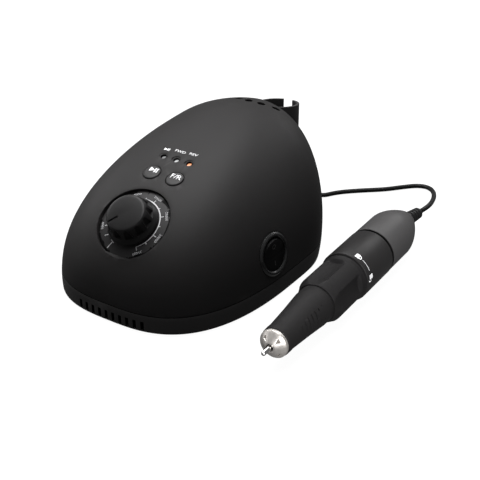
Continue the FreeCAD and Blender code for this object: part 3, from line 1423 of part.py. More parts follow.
# Coil of the unseen length, flat on the table behind the casing. The turns spiral in and out again
# and climb a layer in the half turn where the spiral reverses. It starts and ends tangentially.
coil_centre = Vector(float(s.coil_x), float(s.coil_y), floor_line)
coil_pitch = float(s.coil_pitch)
layer_turns = float(s.coil_turns_per_layer)
layers = int(float(s.coil_layers))
coil_outer = float(s.coil_radius) + coil_pitch * layer_turns / 2
total_turns = layer_turns * layers
coil_start_angle = math.radians(70.0)


def smooth(share):
    share = min(max(share, 0.0), 1.0)
    return share * share * (3 - 2 * share)


def coil_point(turns):
    """Point of the coil's centre line after a number of turns."""
    layer = min(int(turns / layer_turns), layers - 1)
    within = turns - layer * layer_turns
    inward = within if layer % 2 == 0 else layer_turns - within
    radius = coil_outer - coil_pitch * inward
    rise = 0.0
    for step in range(1, layers):
        rise += smooth((turns - step * layer_turns) * 2 + 0.5)
    angle = coil_start_angle + 2 * math.pi * turns
    flat = Vector(math.cos(angle), math.sin(angle), 0) * radius
    return coil_centre + flat + Vector(0, 0, coil_pitch * rise)


def coil_way(turns):
    step = 0.002
    low = max(turns - step, 0.0)
    high = min(turns + step, total_turns)
    return (coil_point(high) - coil_point(low)).normalize()


QUARTERS = int(total_turns * 4)
coil_edges = []
lead = 2 * cord_radius
first_point = coil_point(0.0)
first_way = coil_way(0.0)
first_way = Vector(first_way.x, first_way.y, 0).normalize()
last_point = coil_point(total_turns)
last_way = coil_way(total_turns)
last_way = Vector(last_way.x, last_way.y, 0).normalize()
coil_in = first_point - first_way * lead
coil_out = last_point + last_way * lead
coil_edges.append(Part.LineSegment(coil_in, first_point).toShape())
knots = [coil_point(index / 4) for index in range(QUARTERS + 1)]
ways = [coil_way(index / 4) for index in range(QUARTERS + 1)]
ways[0] = first_way
ways[-1] = last_way
for index in range(QUARTERS):
    coil_edges += biarc(knots[index], ways[index], knots[index + 1], ways[index + 1])
coil_edges.append(Part.LineSegment(last_point, coil_out).toShape())
coil_path = Part.Wire(coil_edges)
coil_profile = Part.Wire([Part.Circle(coil_in, first_way, cord_radius).toShape()])
coil_shape = coil_path.makePipeShell([coil_profile], True, False)


def coil_gap():
    """Least free space between the coil's turns, on points of its path."""
    points = []
    along = []
    travelled = 0.0
    for edge in coil_path.Edges:
        steps = 12
        for point in edge.discretize(steps)[:-1]:
            points.append(point)
            along.append(travelled)
            travelled += edge.Length / (steps - 1)
    least = 1000.0
    for first in range(len(points)):
        for second in range(first + 1, len(points)):
            if along[second] - along[first] > 8 * cord_radius:
                least = min(least, (points[second] - points[first]).Length)
    return least - 2 * cord_radius


print("cord_coil: %.1f turns, length %.1f mm, least gap %.2f mm, volume %.4f of its section times its length"
      % (total_turns, coil_path.Length, coil_gap(),
         coil_shape.Volume / (math.pi * cord_radius ** 2 * coil_path.Length)))

# Free stretch from the boot: down to the table, round in the loop that shows, then behind the
# casing to the coil.
shown = [cord_start, cord_start + cord_way * 6.5]
shown += as_route([
    (cord_start.x - 1.5, cord_start.y + 16.8, cord_start.z - 2.5),
    (88.9, 101.5, floor_line + 6.3),
    (83.6, 111.3, floor_line + 3.3),
    (79.3, 120.1, floor_line + 1.1),
    (71.9, 123.6, floor_line),
    (64.2, 120.9, floor_line),
    (57.0, 110.8, floor_line),
    (45.8, 100.8, floor_line),
    (34.8, 90.5, floor_line),
    (26.0, 79.9, floor_line),
    (13.1, 80.4, floor_line),
    (6.0, 88.4, floor_line),
    (3.0, 99.0, floor_line),
])
shown += [coil_in - first_way * 10.5, coil_in]
keep(solid("HandpieceCord", tube_along(shown, cord_radius, "handpiece_cord")), "handpiece_cord", cord=True)
keep(solid("CordCoil", coil_shape), "cord_coil", cord=True)

# Stretch from the top of the coil up to the plug.
plug_tip = socket_frame.multVec(Vector(0, 0, float(plug_end)))
plug_way = socket_normal
to_plug = [coil_out, coil_out + last_way * 7]
to_plug += as_route([
    (-41.0, 118.5, 16.0),
    (-52.5, 114.5, 21.5),
    (-55.5, 104.5, 26.5),
])
to_plug += [plug_tip + plug_way * 12, plug_tip]
keep(solid("PlugCord", tube_along(to_plug, cord_radius, "plug_cord")), "plug_cord", cord=True)

# Every object must have rebuilt well before anything is written.
doc.recompute()
for item in doc.Objects:
    if "Invalid" in item.State or "Error" in item.State:
        raise ValueError("%s did not rebuild" % item.Label)
for item in subparts:
    if item.Shape.isNull() or not item.Shape.isValid():
        raise ValueError("%s has a bad shape" % item.Label)

# The origin is the middle of the object's box on the table, without the cord and what is on it.
box = FreeCAD.BoundBox()
for item in subparts:
    if item.Label not in cord_nodes:
        box.add(item.Shape.BoundBox)
shift = Placement(Vector(-box.Center.x, -box.Center.y, 0), Rotation())
for item in subparts:
    item.Placement = shift.multiply(item.Placement)
doc.recompute()

os.makedirs("parts", exist_ok=True)
for item in subparts:
    item.Shape.exportStep("parts/%s.step" % item.Label)
print("%d nodes, origin moved by %.3f, %.3f" % (len(subparts), shift.Base.x, shift.Base.y))
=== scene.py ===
import json
import math

import bpy
from mathutils import Matrix, Vector

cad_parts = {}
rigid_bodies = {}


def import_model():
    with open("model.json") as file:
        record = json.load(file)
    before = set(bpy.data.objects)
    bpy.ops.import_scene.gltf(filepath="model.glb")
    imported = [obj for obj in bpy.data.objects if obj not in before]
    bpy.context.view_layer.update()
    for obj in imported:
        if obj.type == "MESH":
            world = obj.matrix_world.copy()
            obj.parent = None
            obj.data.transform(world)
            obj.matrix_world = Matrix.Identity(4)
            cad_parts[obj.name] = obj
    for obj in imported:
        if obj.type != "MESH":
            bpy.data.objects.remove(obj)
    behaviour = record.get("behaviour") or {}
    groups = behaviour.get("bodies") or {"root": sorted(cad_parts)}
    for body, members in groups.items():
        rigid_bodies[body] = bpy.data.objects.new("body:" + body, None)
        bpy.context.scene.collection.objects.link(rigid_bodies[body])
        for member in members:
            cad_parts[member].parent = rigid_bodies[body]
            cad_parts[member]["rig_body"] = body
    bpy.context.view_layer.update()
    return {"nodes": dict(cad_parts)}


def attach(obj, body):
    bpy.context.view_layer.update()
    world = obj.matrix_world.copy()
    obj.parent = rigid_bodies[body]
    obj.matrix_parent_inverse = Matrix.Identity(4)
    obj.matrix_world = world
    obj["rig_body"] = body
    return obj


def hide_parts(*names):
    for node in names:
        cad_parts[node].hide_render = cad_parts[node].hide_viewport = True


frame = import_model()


# Casing: the upper shell, moulded in black ABS with a fine spark-eroded grain, domed and drawn
# out towards the front. It has the openings for the dial, buttons, lights, switch and sockets,
# and five air holes near its crown. Screws through the tray hold it down.
def moulded_plastic(name, dark, light, grain=2600.0, depth=0.00006, rough=(0.42, 0.56), gloss=0.12,
                    patch=22.0):
    """Plastic with a spark-eroded grain, soft shifts of tone and roughness, and edges painted paler as a
    highlight.
    """
    speck_share = 0.3
    speck_scale = 0.4 * grain
    # Tone of the painted highlight on convex edges.
    edge_highlight_tone = [2.2 * tone for tone in light]
    material = bpy.data.materials.new(name)
    material.use_nodes = True
    nodes = material.node_tree.nodes
    links = material.node_tree.links
    shader = nodes["Principled BSDF"]
    shader.inputs["Metallic"].default_value = 0.0
    shader.inputs["IOR"].default_value = 1.5
    shader.inputs["Specular IOR Level"].default_value = gloss
    place = nodes.new("ShaderNodeTexCoord")
    tone = nodes.new("ShaderNodeTexNoise")
    tone.inputs["Scale"].default_value = patch
    tone.inputs["Detail"].default_value = 4.0
    links.new(place.outputs["Object"], tone.inputs["Vector"])
    speck = nodes.new("ShaderNodeTexNoise")
    speck.inputs["Scale"].default_value = speck_scale
    speck.inputs["Detail"].default_value = 2.0
    links.new(place.outputs["Object"], speck.inputs["Vector"])
    both = nodes.new("ShaderNodeMix")
    both.data_type = "FLOAT"
    both.inputs["Factor"].default_value = speck_share
    links.new(tone.outputs["Fac"], both.inputs["A"])
    links.new(speck.outputs["Fac"], both.inputs["B"])
    ramp = nodes.new("ShaderNodeValToRGB")
    ramp.color_ramp.elements[0].position = 0.3
    ramp.color_ramp.elements[0].color = (*dark, 1.0)
    ramp.color_ramp.elements[1].position = 0.7
    ramp.color_ramp.elements[1].color = (*light, 1.0)
    links.new(both.outputs["Result"], ramp.inputs["Fac"])
    # Convex edges, found by the mesh's pointiness, get a painted highlight, paler than the rest of the
    # surface.
    bend = nodes.new("ShaderNodeNewGeometry")
    edge_highlight_share = nodes.new("ShaderNodeMapRange")
    edge_highlight_share.inputs["From Min"].default_value = 0.54
    edge_highlight_share.inputs["From Max"].default_value = 0.68
    edge_highlight_share.inputs["To Max"].default_value = 0.5
    links.new(bend.outputs["Pointiness"], edge_highlight_share.inputs["Value"])
    edge_highlight_mix = nodes.new("ShaderNodeMix")
    edge_highlight_mix.data_type = "RGBA"
    edge_highlight_mix.inputs["B"].default_value = (*edge_highlight_tone, 1.0)
    links.new(edge_highlight_share.outputs["Result"], edge_highlight_mix.inputs["Factor"])
    links.new(ramp.outputs["Color"], edge_highlight_mix.inputs["A"])
    links.new(edge_highlight_mix.outputs["Result"], shader.inputs["Base Color"])
    sheen_map = nodes.new("ShaderNodeMapRange")
    sheen_map.inputs["To Min"].default_value = rough[0]
    sheen_map.inputs["To Max"].default_value = rough[1]
    links.new(tone.outputs["Fac"], sheen_map.inputs["Value"])
    links.new(sheen_map.outputs["Result"], shader.inputs["Roughness"])
    grains = nodes.new("ShaderNodeTexNoise")
    grains.inputs["Scale"].default_value = grain
    grains.inputs["Detail"].default_value = 3.0
    links.new(place.outputs["Object"], grains.inputs["Vector"])
    bump = nodes.new("ShaderNodeBump")
    bump.inputs["Strength"].default_value = 0.35
    bump.inputs["Distance"].default_value = depth
    links.new(grains.outputs["Fac"], bump.inputs["Height"])
    links.new(bump.outputs["Normal"], shader.inputs["Normal"])
    return material


def dress(node, material):
    """A CAD node keeps its shape and takes this finish."""
    slots = frame["nodes"][node].data.materials
    slots.clear()
    slots.append(material)


def pick_only(piece):
    """One piece selected and active, and nothing else."""
    bpy.ops.object.select_all(action="DESELECT")
    piece.select_set(True)
    bpy.context.view_layer.objects.active = piece


def refined(node, name, material, round_edge=0.0, steps=2, sharp=32.0):
    """A welded copy of a CAD node with smooth faces and softly broken edges, which stands for it."""
    weld = 0.000002
    solid = frame["nodes"][node]
    piece = bpy.data.objects.new(name, solid.data.copy())
    bpy.context.scene.collection.objects.link(piece)
    pick_only(piece)
    if piece.data.has_custom_normals:
        bpy.ops.mesh.customdata_custom_splitnormals_clear()
    bpy.ops.object.mode_set(mode="EDIT")
    bpy.ops.mesh.select_all(action="SELECT")
    bpy.ops.mesh.remove_doubles(threshold=weld)
    bpy.ops.mesh.dissolve_degenerate(threshold=weld / 2)
    bpy.ops.mesh.tris_convert_to_quads(face_threshold=math.radians(12), shape_threshold=math.radians(40))
    bpy.ops.object.mode_set(mode="OBJECT")
    if round_edge > 0:
        bevel = piece.modifiers.new("broken edges", "BEVEL")
        bevel.width = round_edge
        bevel.segments = steps
        bevel.limit_method = "ANGLE"
        bevel.angle_limit = math.radians(sharp)
        bevel.harden_normals = False
        bevel.use_clamp_overlap = True
        bpy.ops.object.modifier_apply(modifier=bevel.name)
    bpy.ops.object.shade_smooth_by_angle(angle=math.radians(sharp))
    piece.data.materials.clear()
    piece.data.materials.append(material)
    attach(piece, solid["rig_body"])
    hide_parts(node)
    return piece


CASING_MIDDLE = -0.021106
casing_black = moulded_plastic("casing black", (0.0138, 0.0132, 0.0134), (0.017, 0.0162, 0.0164),
                               rough=(0.5, 0.62), gloss=0.09)
casing = refined("upper_shell", "casing_shell", casing_black, round_edge=0.00025)

# Tray under the shell: moulded in the same black, a shade lighter, with ten air slots in its front
# wall. The walls of the slots and the groove at the parting line lie in the shade, in a dark skin.
tray_black = moulded_plastic("tray black", (0.0245, 0.0236, 0.0239), (0.03, 0.0288, 0.0292),
                             grain=2000.0, rough=(0.48, 0.62))
tray = refined("base_tray", "bottom_tray", tray_black, round_edge=0.0003)
shade_black = moulded_plastic("shaded black", (0.002, 0.002, 0.002), (0.003, 0.003, 0.003),
                              rough=(0.5, 0.6), gloss=0.03)
PARTING_HEIGHT = 0.0108
GROOVE_BELOW = 0.0004
GROOVE_ABOVE = 0.0001
SLOT_FOOT = 0.0015
SLOT_TOP = 0.0071
SLOT_MIDDLE = -0.0199
SLOT_ROW_HALF = 0.0225
FRONT_WALL = -0.055
SIDEWAYS = 0.9
UPWARDS = 0.3


def darken(piece, in_shade):
    """Gives the faces of a piece that lie in the shade the dark skin."""
    piece.data.materials.append(shade_black)
    dark_slot = len(piece.data.materials) - 1
    for face in piece.data.polygons:
        if in_shade(face):
            face.material_index = dark_slot


def slot_wall_or_groove(face):
    """True for a side wall of an air slot, and for the groove's floor."""
    middle = face.center
    in_row = abs(middle.x - SLOT_MIDDLE) < SLOT_ROW_HALF and middle.y < FRONT_WALL
    slot_wall = in_row and abs(face.normal.x) > SIDEWAYS and SLOT_FOOT < middle.z < SLOT_TOP
    at_parting = PARTING_HEIGHT - GROOVE_BELOW < middle.z < PARTING_HEIGHT + GROOVE_ABOVE
    return slot_wall or (at_parting and face.normal.z > UPWARDS)


darken(tray, slot_wall_or_groove)


# Under the tray: four rubber feet pressed into its beds, and four plated steel screws that go up
# through it into the shell.
def worked_metal(name, dark, light, rough=(0.22, 0.36), stretch=(1.0, 1.0, 1.0), scale=900.0,
                 depth=0.00002):
    """Metal with fine tool marks; stretch draws the marks out along the axis that has the least."""
    material = bpy.data.materials.new(name)
    material.use_nodes = True
    nodes = material.node_tree.nodes
    links = material.node_tree.links
    shader = nodes["Principled BSDF"]
    shader.inputs["Metallic"].default_value = 1.0
    place = nodes.new("ShaderNodeTexCoord")
    along = nodes.new("ShaderNodeMapping")
    along.inputs["Scale"].default_value = stretch
    links.new(place.outputs["Object"], along.inputs["Vector"])
    marks = nodes.new("ShaderNodeTexNoise")
    marks.inputs["Scale"].default_value = scale
    marks.inputs["Detail"].default_value = 5.0
    links.new(along.outputs["Vector"], marks.inputs["Vector"])
    ramp = nodes.new("ShaderNodeValToRGB")
    ramp.color_ramp.elements[0].position = 0.25
    ramp.color_ramp.elements[0].color = (*dark, 1.0)
    ramp.color_ramp.elements[1].position = 0.75
    ramp.color_ramp.elements[1].color = (*light, 1.0)
    links.new(marks.outputs["Fac"], ramp.inputs["Fac"])
    links.new(ramp.outputs["Color"], shader.inputs["Base Color"])
    spread = nodes.new("ShaderNodeMapRange")
    spread.inputs["To Min"].default_value = rough[0]
    spread.inputs["To Max"].default_value = rough[1]
    links.new(marks.outputs["Fac"], spread.inputs["Value"])
    links.new(spread.outputs["Result"], shader.inputs["Roughness"])
    bump = nodes.new("ShaderNodeBump")
    bump.inputs["Strength"].default_value = 0.3
    bump.inputs["Distance"].default_value = depth
    links.new(marks.outputs["Fac"], bump.inputs["Height"])
    links.new(bump.outputs["Normal"], shader.inputs["Normal"])
    return material


foot_rubber = moulded_plastic("foot rubber", (0.008, 0.008, 0.008), (0.013, 0.013, 0.013),
                              grain=1500.0, depth=0.0001, rough=(0.7, 0.85))
dress("rubber_feet", foot_rubber)
screw_steel = worked_metal("screw steel", (0.36, 0.37, 0.38), (0.6, 0.61, 0.63))
dress("case_screws", screw_steel)

# Inside the casing: transformer with varnished laminations and a taped copper winding, the power
# board with its capacitors, heat sink and regulator, and the control board under the buttons.
lamination = worked_metal("laminations", (0.1, 0.1, 0.11), (0.26, 0.26, 0.28), rough=(0.4, 0.6),
                          stretch=(0.05, 2.2, 0.05), scale=700.0, depth=0.0001)
dress("transformer_core", lamination)
winding_tape = moulded_plastic("winding tape", (0.3, 0.13, 0.035), (0.48, 0.24, 0.07), grain=900.0,
                               depth=0.0001, rough=(0.3, 0.45))
dress("transformer_winding", winding_tape)
solder_mask = moulded_plastic("solder mask", (0.012, 0.11, 0.05), (0.02, 0.19, 0.085), grain=700.0,
                              rough=(0.25, 0.4))
dress("power_board", solder_mask)
dress("control_board", solder_mask)
dress("board_screws", screw_steel)
sleeve_blue = moulded_plastic("capacitor sleeve", (0.015, 0.035, 0.12), (0.03, 0.065, 0.2),
                              rough=(0.2, 0.32))
dress("filter_capacitors", sleeve_blue)
anodised = worked_metal("anodised fins", (0.1, 0.1, 0.11), (0.2, 0.2, 0.22), rough=(0.35, 0.5),
                        stretch=(1.0, 1.0, 0.1))
dress("heat_sink", anodised)
chip_black = moulded_plastic("chip epoxy", (0.018, 0.018, 0.018), (0.032, 0.032, 0.032),
                             grain=3500.0, rough=(0.55, 0.7))
for chip in ("regulator", "control_chip", "tact_switches"):
    dress(chip, chip_black)


# Speed dial: a black satin plate in its round bed, with a rim painted dark as the bed wall's shade.
# The plate is printed in white with a scale that runs clockwise from lower left to lower right, with
# a tick for each step, a number for each second one, and a line round its right half that grows in width.
def facing(spot, lean, turn=0.0):
    """A place on a face that leans forward from level by lean degrees, turned round by turn."""
    turned = Matrix.Rotation(math.radians(turn), 4, "Z")
    leaned = Matrix.Rotation(math.radians(lean), 4, "X")
    return Matrix.Translation(spot) @ turned @ leaned


DIAL_LEAN = 34.13928
DIAL_OFFSET = 0.0007
DIAL_FACE_RADIUS = 0.0184
dial_place = facing((CASING_MIDDLE + DIAL_OFFSET, -0.064988, 0.0481), DIAL_LEAN)
to_dial = dial_place.inverted()
plate_satin = moulded_plastic("dial satin", (0.017, 0.0165, 0.017), (0.021, 0.0203, 0.0208),
                              grain=3200.0, depth=0.00003, rough=(0.34, 0.44))
plate = refined("dial_plate", "dial_face", plate_satin, round_edge=0.0012, steps=5)
# The rim, outside the plate's face radius, takes the dark skin: painted shade.
darken(plate, lambda face: (to_dial @ face.center).xy.length > DIAL_FACE_RADIUS)


def print_ink(name, tone, rough):
    """Pad-printed ink, a little uneven where it lies thin on the grain."""
    thin = tuple(0.86 * value for value in tone)
    return moulded_plastic(name, thin, tone, grain=5200.0, depth=0.00001,
                           rough=(rough - 0.06, rough + 0.06), patch=900.0)


def stamp(text, height, x, y, turn=0.0, wide=1.0, weight=0.012):
    """Lettering as a flat mesh on the print's own plane; weight fattens it by a share of its height."""
    bpy.ops.object.select_all(action="DESELECT")
    bpy.ops.object.text_add(location=(0, 0, 0))
    letters = bpy.context.object
    letters.data.body = text
    letters.data.size = height
    letters.data.align_x = "CENTER"
    letters.data.align_y = "CENTER"
    letters.data.resolution_u = 3
    letters.data.offset = height * weight
    bpy.ops.object.convert(target="MESH")
    letters = bpy.context.object
    letters.data.transform(Matrix.Translation((x, y, 0)) @ Matrix.Rotation(turn, 4, "Z")
                           @ Matrix.Diagonal((wide, 1.0, 1.0, 1.0)))
    return letters


def bar(x, y, length, width, turn):
    """A printed stroke, length along turn, with its middle at x, y, cut up so that it can bend."""
    cut_every = 0.0006
    most_cuts = 12
    cuts = max(1, min(most_cuts, int(length / cut_every)))
    bpy.ops.object.select_all(action="DESELECT")
    bpy.ops.mesh.primitive_plane_add(size=1.0)
    stroke = bpy.context.object
    bpy.ops.object.mode_set(mode="EDIT")
    bpy.ops.mesh.select_all(action="SELECT")
    bpy.ops.mesh.subdivide(number_cuts=cuts)
    bpy.ops.object.mode_set(mode="OBJECT")
    stroke.data.transform(Matrix.Translation((x, y, 0)) @ Matrix.Rotation(turn, 4, "Z")
                          @ Matrix.Diagonal((length, width, 1.0, 1.0)))
    return stroke


def laid_on(parts, name, place, target, ink, body):
    """Joins the flat parts of a print, drops them along the place's axis onto a piece and gives
    the ink its thickness."""
    drop_from = 0.02
    ink_thickness = 0.00003
    bpy.ops.object.select_all(action="DESELECT")
    for part in parts:
        part.select_set(True)
    bpy.context.view_layer.objects.active = parts[0]
    if len(parts) > 1:
        bpy.ops.object.join()
    piece = bpy.context.object
    piece.name = name
    piece.data.name = name
    piece.matrix_world = place @ Matrix.Translation((0, 0, drop_from))
    bpy.context.view_layer.update()
    drop = piece.modifiers.new("drop", "SHRINKWRAP")
    drop.target = target
    drop.wrap_method = "PROJECT"
    drop.use_project_z = True
    drop.use_negative_direction = True
    drop.use_positive_direction = False
    drop.offset = ink_thickness
    pick_only(piece)
    bpy.ops.object.modifier_apply(modifier=drop.name)
    bpy.ops.object.transform_apply(location=True, rotation=True, scale=True)
    coat = piece.modifiers.new("ink", "SOLIDIFY")
    coat.thickness = ink_thickness
    coat.offset = 1.0
    bpy.ops.object.modifier_apply(modifier=coat.name)
    piece.data.materials.clear()
    piece.data.materials.append(ink)
    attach(piece, body)


def on_dial(radius, angle):
    """The x and y of a point that lies this far out on the dial, at this angle in degrees."""
    turn = math.radians(angle)
    return radius * math.cos(turn), radius * math.sin(turn)


def part_circle(count, radius, low, high):
    """A circle's edge from one angle to another, with a second edge on it to be moved apart."""
    slack = 0.1
    bpy.ops.object.select_all(action="DESELECT")
    bpy.ops.mesh.primitive_circle_add(vertices=count, radius=radius, fill_type="NOTHING")
    line = bpy.context.object
    bpy.ops.object.mode_set(mode="EDIT")
    bpy.ops.mesh.select_mode(type="VERT")
    bpy.ops.mesh.select_all(action="DESELECT")
    bpy.ops.object.mode_set(mode="OBJECT")
    for point in line.data.vertices:
        angle = math.degrees(math.atan2(point.co.y, point.co.x))
        point.select = not low - slack <= angle <= high + slack
    bpy.ops.object.mode_set(mode="EDIT")
    bpy.ops.mesh.delete(type="VERT")
    bpy.ops.mesh.select_all(action="SELECT")
    bpy.ops.mesh.extrude_region()
    bpy.ops.object.mode_set(mode="OBJECT")
    return line


scale_ink = print_ink("scale ink", (0.4, 0.4, 0.41), 0.5)
SWEEP_RADIUS = 0.01385
SWEEP_START = -55.0
SWEEP_TURN = 151.0
SWEEP_WIDTH = 0.022
SWEEP_GROWTH = 0.024
sweep = part_circle(240, SWEEP_RADIUS, SWEEP_START, SWEEP_START + SWEEP_TURN)
for point in sweep.data.vertices:
    if point.select:
        angle = math.degrees(math.atan2(point.co.y, point.co.x))
        point.co *= 1.0 + SWEEP_WIDTH + SWEEP_GROWTH * (angle - SWEEP_START) / SWEEP_TURN
prints = [sweep]
SCALE_START = 245.5
SCALE_STEPS = 14
SCALE_TURN = 300.0
STEP_SPEED = 2500
TICK_START = 0.0139
SHORT_TICK_END = 0.0151
LONG_TICK_END = 0.0159
FIRST_TICK_END = 0.0180
STROKE = 0.0004
NUMBER_RADIUS = 0.0172
NUMBER_HEIGHT = 0.00175
for step in range(SCALE_STEPS + 1):
    angle = SCALE_START - SCALE_TURN / SCALE_STEPS * step
    tick_end = SHORT_TICK_END
    if step % 2 == 0:
        tick_end = LONG_TICK_END
    if step == 0:
        tick_end = FIRST_TICK_END
    x, y = on_dial((TICK_START + tick_end) / 2, angle)
    prints.append(bar(x, y, tick_end - TICK_START, STROKE, math.radians(angle)))
    if step % 2 == 0 and step > 0:
        x, y = on_dial(NUMBER_RADIUS, angle)
        upright = math.radians(angle - 90.0)
        prints.append(stamp(str(STEP_SPEED * step), NUMBER_HEIGHT, x, y, upright, wide=1.2, weight=-0.012))
FOOT_ANGLE = 244.3
FOOT_LENGTH = 0.0024
x, y = on_dial(TICK_START, FOOT_ANGLE)
prints.append(bar(x, y, FOOT_LENGTH, STROKE, math.radians(FOOT_ANGLE - 90.0)))
ZERO_RADIUS = 0.0157
ZERO_ANGLE = 223.0
ZERO_HEIGHT = 0.0015
x, y = on_dial(ZERO_RADIUS, ZERO_ANGLE)
prints.append(stamp("0", ZERO_HEIGHT, x, y, math.radians(ZERO_ANGLE - 90.0)))
laid_on(prints, "dial_scale_print", dial_place, plate, scale_ink, "base_unit")

# Behind the dial: the potentiometer's can, bushing, nut and shaft, in plated steel. The nut holds
# the can in its place, and the knob goes on the shaft.
pot_plate = worked_metal("pot plating", (0.45, 0.45, 0.46), (0.72, 0.72, 0.74), rough=(0.3, 0.45))
for metal in ("potentiometer_body", "potentiometer_nut", "potentiometer_shaft"):
    dress(metal, pot_plate)

# Speed knob: one moulding in satin black, with a skirt, twelve flutes round its side, and a
# nearly flat top that has a pointer groove. It is pushed on the potentiometer's shaft.
knob_satin = moulded_plastic("knob satin", (0.0095, 0.0092, 0.0095), (0.0118, 0.0115, 0.0118),
                             grain=3000.0, depth=0.00003, rough=(0.3, 0.4))
refined("speed_knob", "knob", knob_satin, round_edge=0.0003, steps=3, sharp=30.0)

# Play and direction buttons: satin caps that stand in the shell's holes and press on switches on
# the board below, printed in white.
button_satin = moulded_plastic("button satin", (0.0135, 0.013, 0.0134), (0.0165, 0.016, 0.0163),
                               grain=3000.0, depth=0.00003, rough=(0.36, 0.46))
play_cap = refined("play_button", "play_cap", button_satin, round_edge=0.0002)
direction_cap = refined("direction_button", "direction_cap", button_satin,
                        round_edge=0.0002)
BUTTON_LEAN = 19.79245
button_place = facing((CASING_MIDDLE, -0.03747, 0.0615), BUTTON_LEAN)
symbol_ink = print_ink("symbol ink", (0.6, 0.6, 0.61), 0.45)


def play_and_pause(x, y, wide, high):
    """A triangle and two upright bars, as on any player, in a field of this width and height."""
    off_middle = 0.22 * wide
    bar_gap = 0.24 * wide
    bar_width = 0.15 * wide
    arrow_size = Matrix.Diagonal((0.38 * wide, 0.577 * high, 1.0, 1.0))
    bpy.ops.object.select_all(action="DESELECT")
    bpy.ops.mesh.primitive_circle_add(vertices=3, radius=1.0, fill_type="NGON")
    arrow = bpy.context.object
    arrow.data.transform(Matrix.Translation((x - off_middle, y, 0)) @ arrow_size
                         @ Matrix.Rotation(math.radians(-90), 4, "Z"))
    first = bar(x + off_middle, y, high, bar_width, math.radians(90))
    second = bar(x + off_middle + bar_gap, y, high, bar_width, math.radians(90))
    return [arrow, first, second]


on_play = play_and_pause(x=-0.0072, y=0.0016, wide=0.0052, high=0.0029)
laid_on(on_play, "play_symbol", button_place, play_cap, symbol_ink, "play_control")
on_direction = [stamp("F/R", height=0.0042, x=0.0073, y=0.0012, wide=1.15, weight=0.006)]
laid_on(on_direction, "direction_letters", button_place, direction_cap, symbol_ink, "direction_control")


# Lights above the buttons: three moulded light guides that end a little below the shell, in holes
# whose walls lie in the shade. The play symbol and the two directions are printed over them, and
# the reverse light is lit.
def light_guide(name, tint, glow):
    """Frosted clear moulding that may be lit from below."""
    material = moulded_plastic(name, tuple(0.8 * value for value in tint), tint, grain=2500.0,
                               rough=(0.15, 0.28))
    shader = material.node_tree.nodes["Principled BSDF"]
    shader.inputs["Transmission Weight"].default_value = 0.25
    shader.inputs["Emission Color"].default_value = (*tint, 1.0)
    shader.inputs["Emission Strength"].default_value = glow
    return material


GUIDE_SINK = 0.0007
HOLE_RADIUS = 0.00205
HOLE_DEPTH = 0.003
to_buttons = button_place.inverted()
sunk = Matrix.Translation(button_place.to_3x3() @ Vector((0.0, 0.0, -GUIDE_SINK)))
guide_middles = []
# The run and forward lenses are one clear moulding; their grey and near-white tints are painted light, the
# forward one paler for the glow of its lit lamp.
for node, name, tint, glow, slot in (
    ("run_light", "run_lens", (0.17, 0.175, 0.18), 0.0, "light_clear"),
    ("forward_light", "forward_lens", (0.46, 0.465, 0.47), 0.0, "light_clear"),
    ("reverse_light", "reverse_lens", (0.75, 0.3, 0.14), 0.5, "light_amber"),
):
    frosted = light_guide(name.replace("_", " "), tint, glow)
    guide = refined(node, name, frosted, round_edge=0.0003, steps=3)
    guide.data.transform(sunk)
    corners = [to_buttons @ corner.co for corner in frame["nodes"][node].data.vertices]
    guide_middles.append(sum(corners, Vector()) / len(corners))


def wall_of_light_hole(face):
    """True for a face of the casing that is inside one of the three holes."""
    spot = to_buttons @ face.center
    for middle in guide_middles:
        if (spot - middle).xy.length < HOLE_RADIUS and spot.z > middle.z - HOLE_DEPTH:
            return True
    return False


darken(casing, wall_of_light_hole)
WORD_HEIGHT = 0.0024
over_lights = play_and_pause(x=-0.0104, y=0.0183, wide=0.0036, high=0.0018)
over_lights.append(stamp("FWD", WORD_HEIGHT, x=-0.0022, y=0.0191, wide=1.25, weight=0.004))
over_lights.append(stamp("REV", WORD_HEIGHT, x=0.0057, y=0.0197, wide=1.25, weight=0.004))
laid_on(over_lights, "light_words", button_place, casing, symbol_ink, "base_unit")

# Power switch: a satin rocker in a round glossy bezel, pressed into the right side, with the marks
# for on and off printed dimly on its two halves and brass terminals behind it.
switch_gloss = moulded_plastic("switch gloss", (0.011, 0.011, 0.0113), (0.015, 0.015, 0.0154),
                               grain=1800.0, depth=0.00002, rough=(0.2, 0.3), gloss=0.45)
refined("power_switch_housing", "switch_bezel", switch_gloss, round_edge=0.00025, steps=3)
rocker_satin = moulded_plastic("rocker satin", (0.005, 0.005, 0.0052), (0.007, 0.007, 0.0072),
                               grain=1800.0, depth=0.00002, rough=(0.4, 0.5), gloss=0.06)
rocker = refined("power_rocker", "rocker", rocker_satin, round_edge=0.0003, steps=3)
brass = worked_metal("terminal brass", (0.55, 0.42, 0.2), (0.78, 0.64, 0.34), rough=(0.25, 0.4))
dress("switch_terminals", brass)
SWITCH_LEAN = 83.5786
SWITCH_TURN = 84.452
MARK_OFFSET = 0.0046
MARK_SIZE = 0.0026
OFF_MARK_INNER = 0.76
rocker_place = facing((0.033268, -0.020899, 0.024604), SWITCH_LEAN, SWITCH_TURN)
mark_ink = print_ink("switch mark ink", (0.05, 0.05, 0.05), 0.4)
bpy.ops.object.select_all(action="DESELECT")
bpy.ops.mesh.primitive_circle_add(vertices=40, radius=MARK_SIZE / 2, fill_type="NOTHING")
off_mark = bpy.context.object
bpy.ops.object.mode_set(mode="EDIT")
bpy.ops.mesh.select_all(action="SELECT")
bpy.ops.mesh.extrude_region()
bpy.ops.transform.resize(value=(OFF_MARK_INNER, OFF_MARK_INNER, 1.0))
bpy.ops.object.mode_set(mode="OBJECT")
off_mark.data.transform(Matrix.Translation((0, MARK_OFFSET, 0)))
on_mark = bar(0.0, -MARK_OFFSET, MARK_SIZE, STROKE, math.radians(90))
laid_on([off_mark, on_mark], "switch_marks", rocker_place, rocker, mark_ink, "power_control")

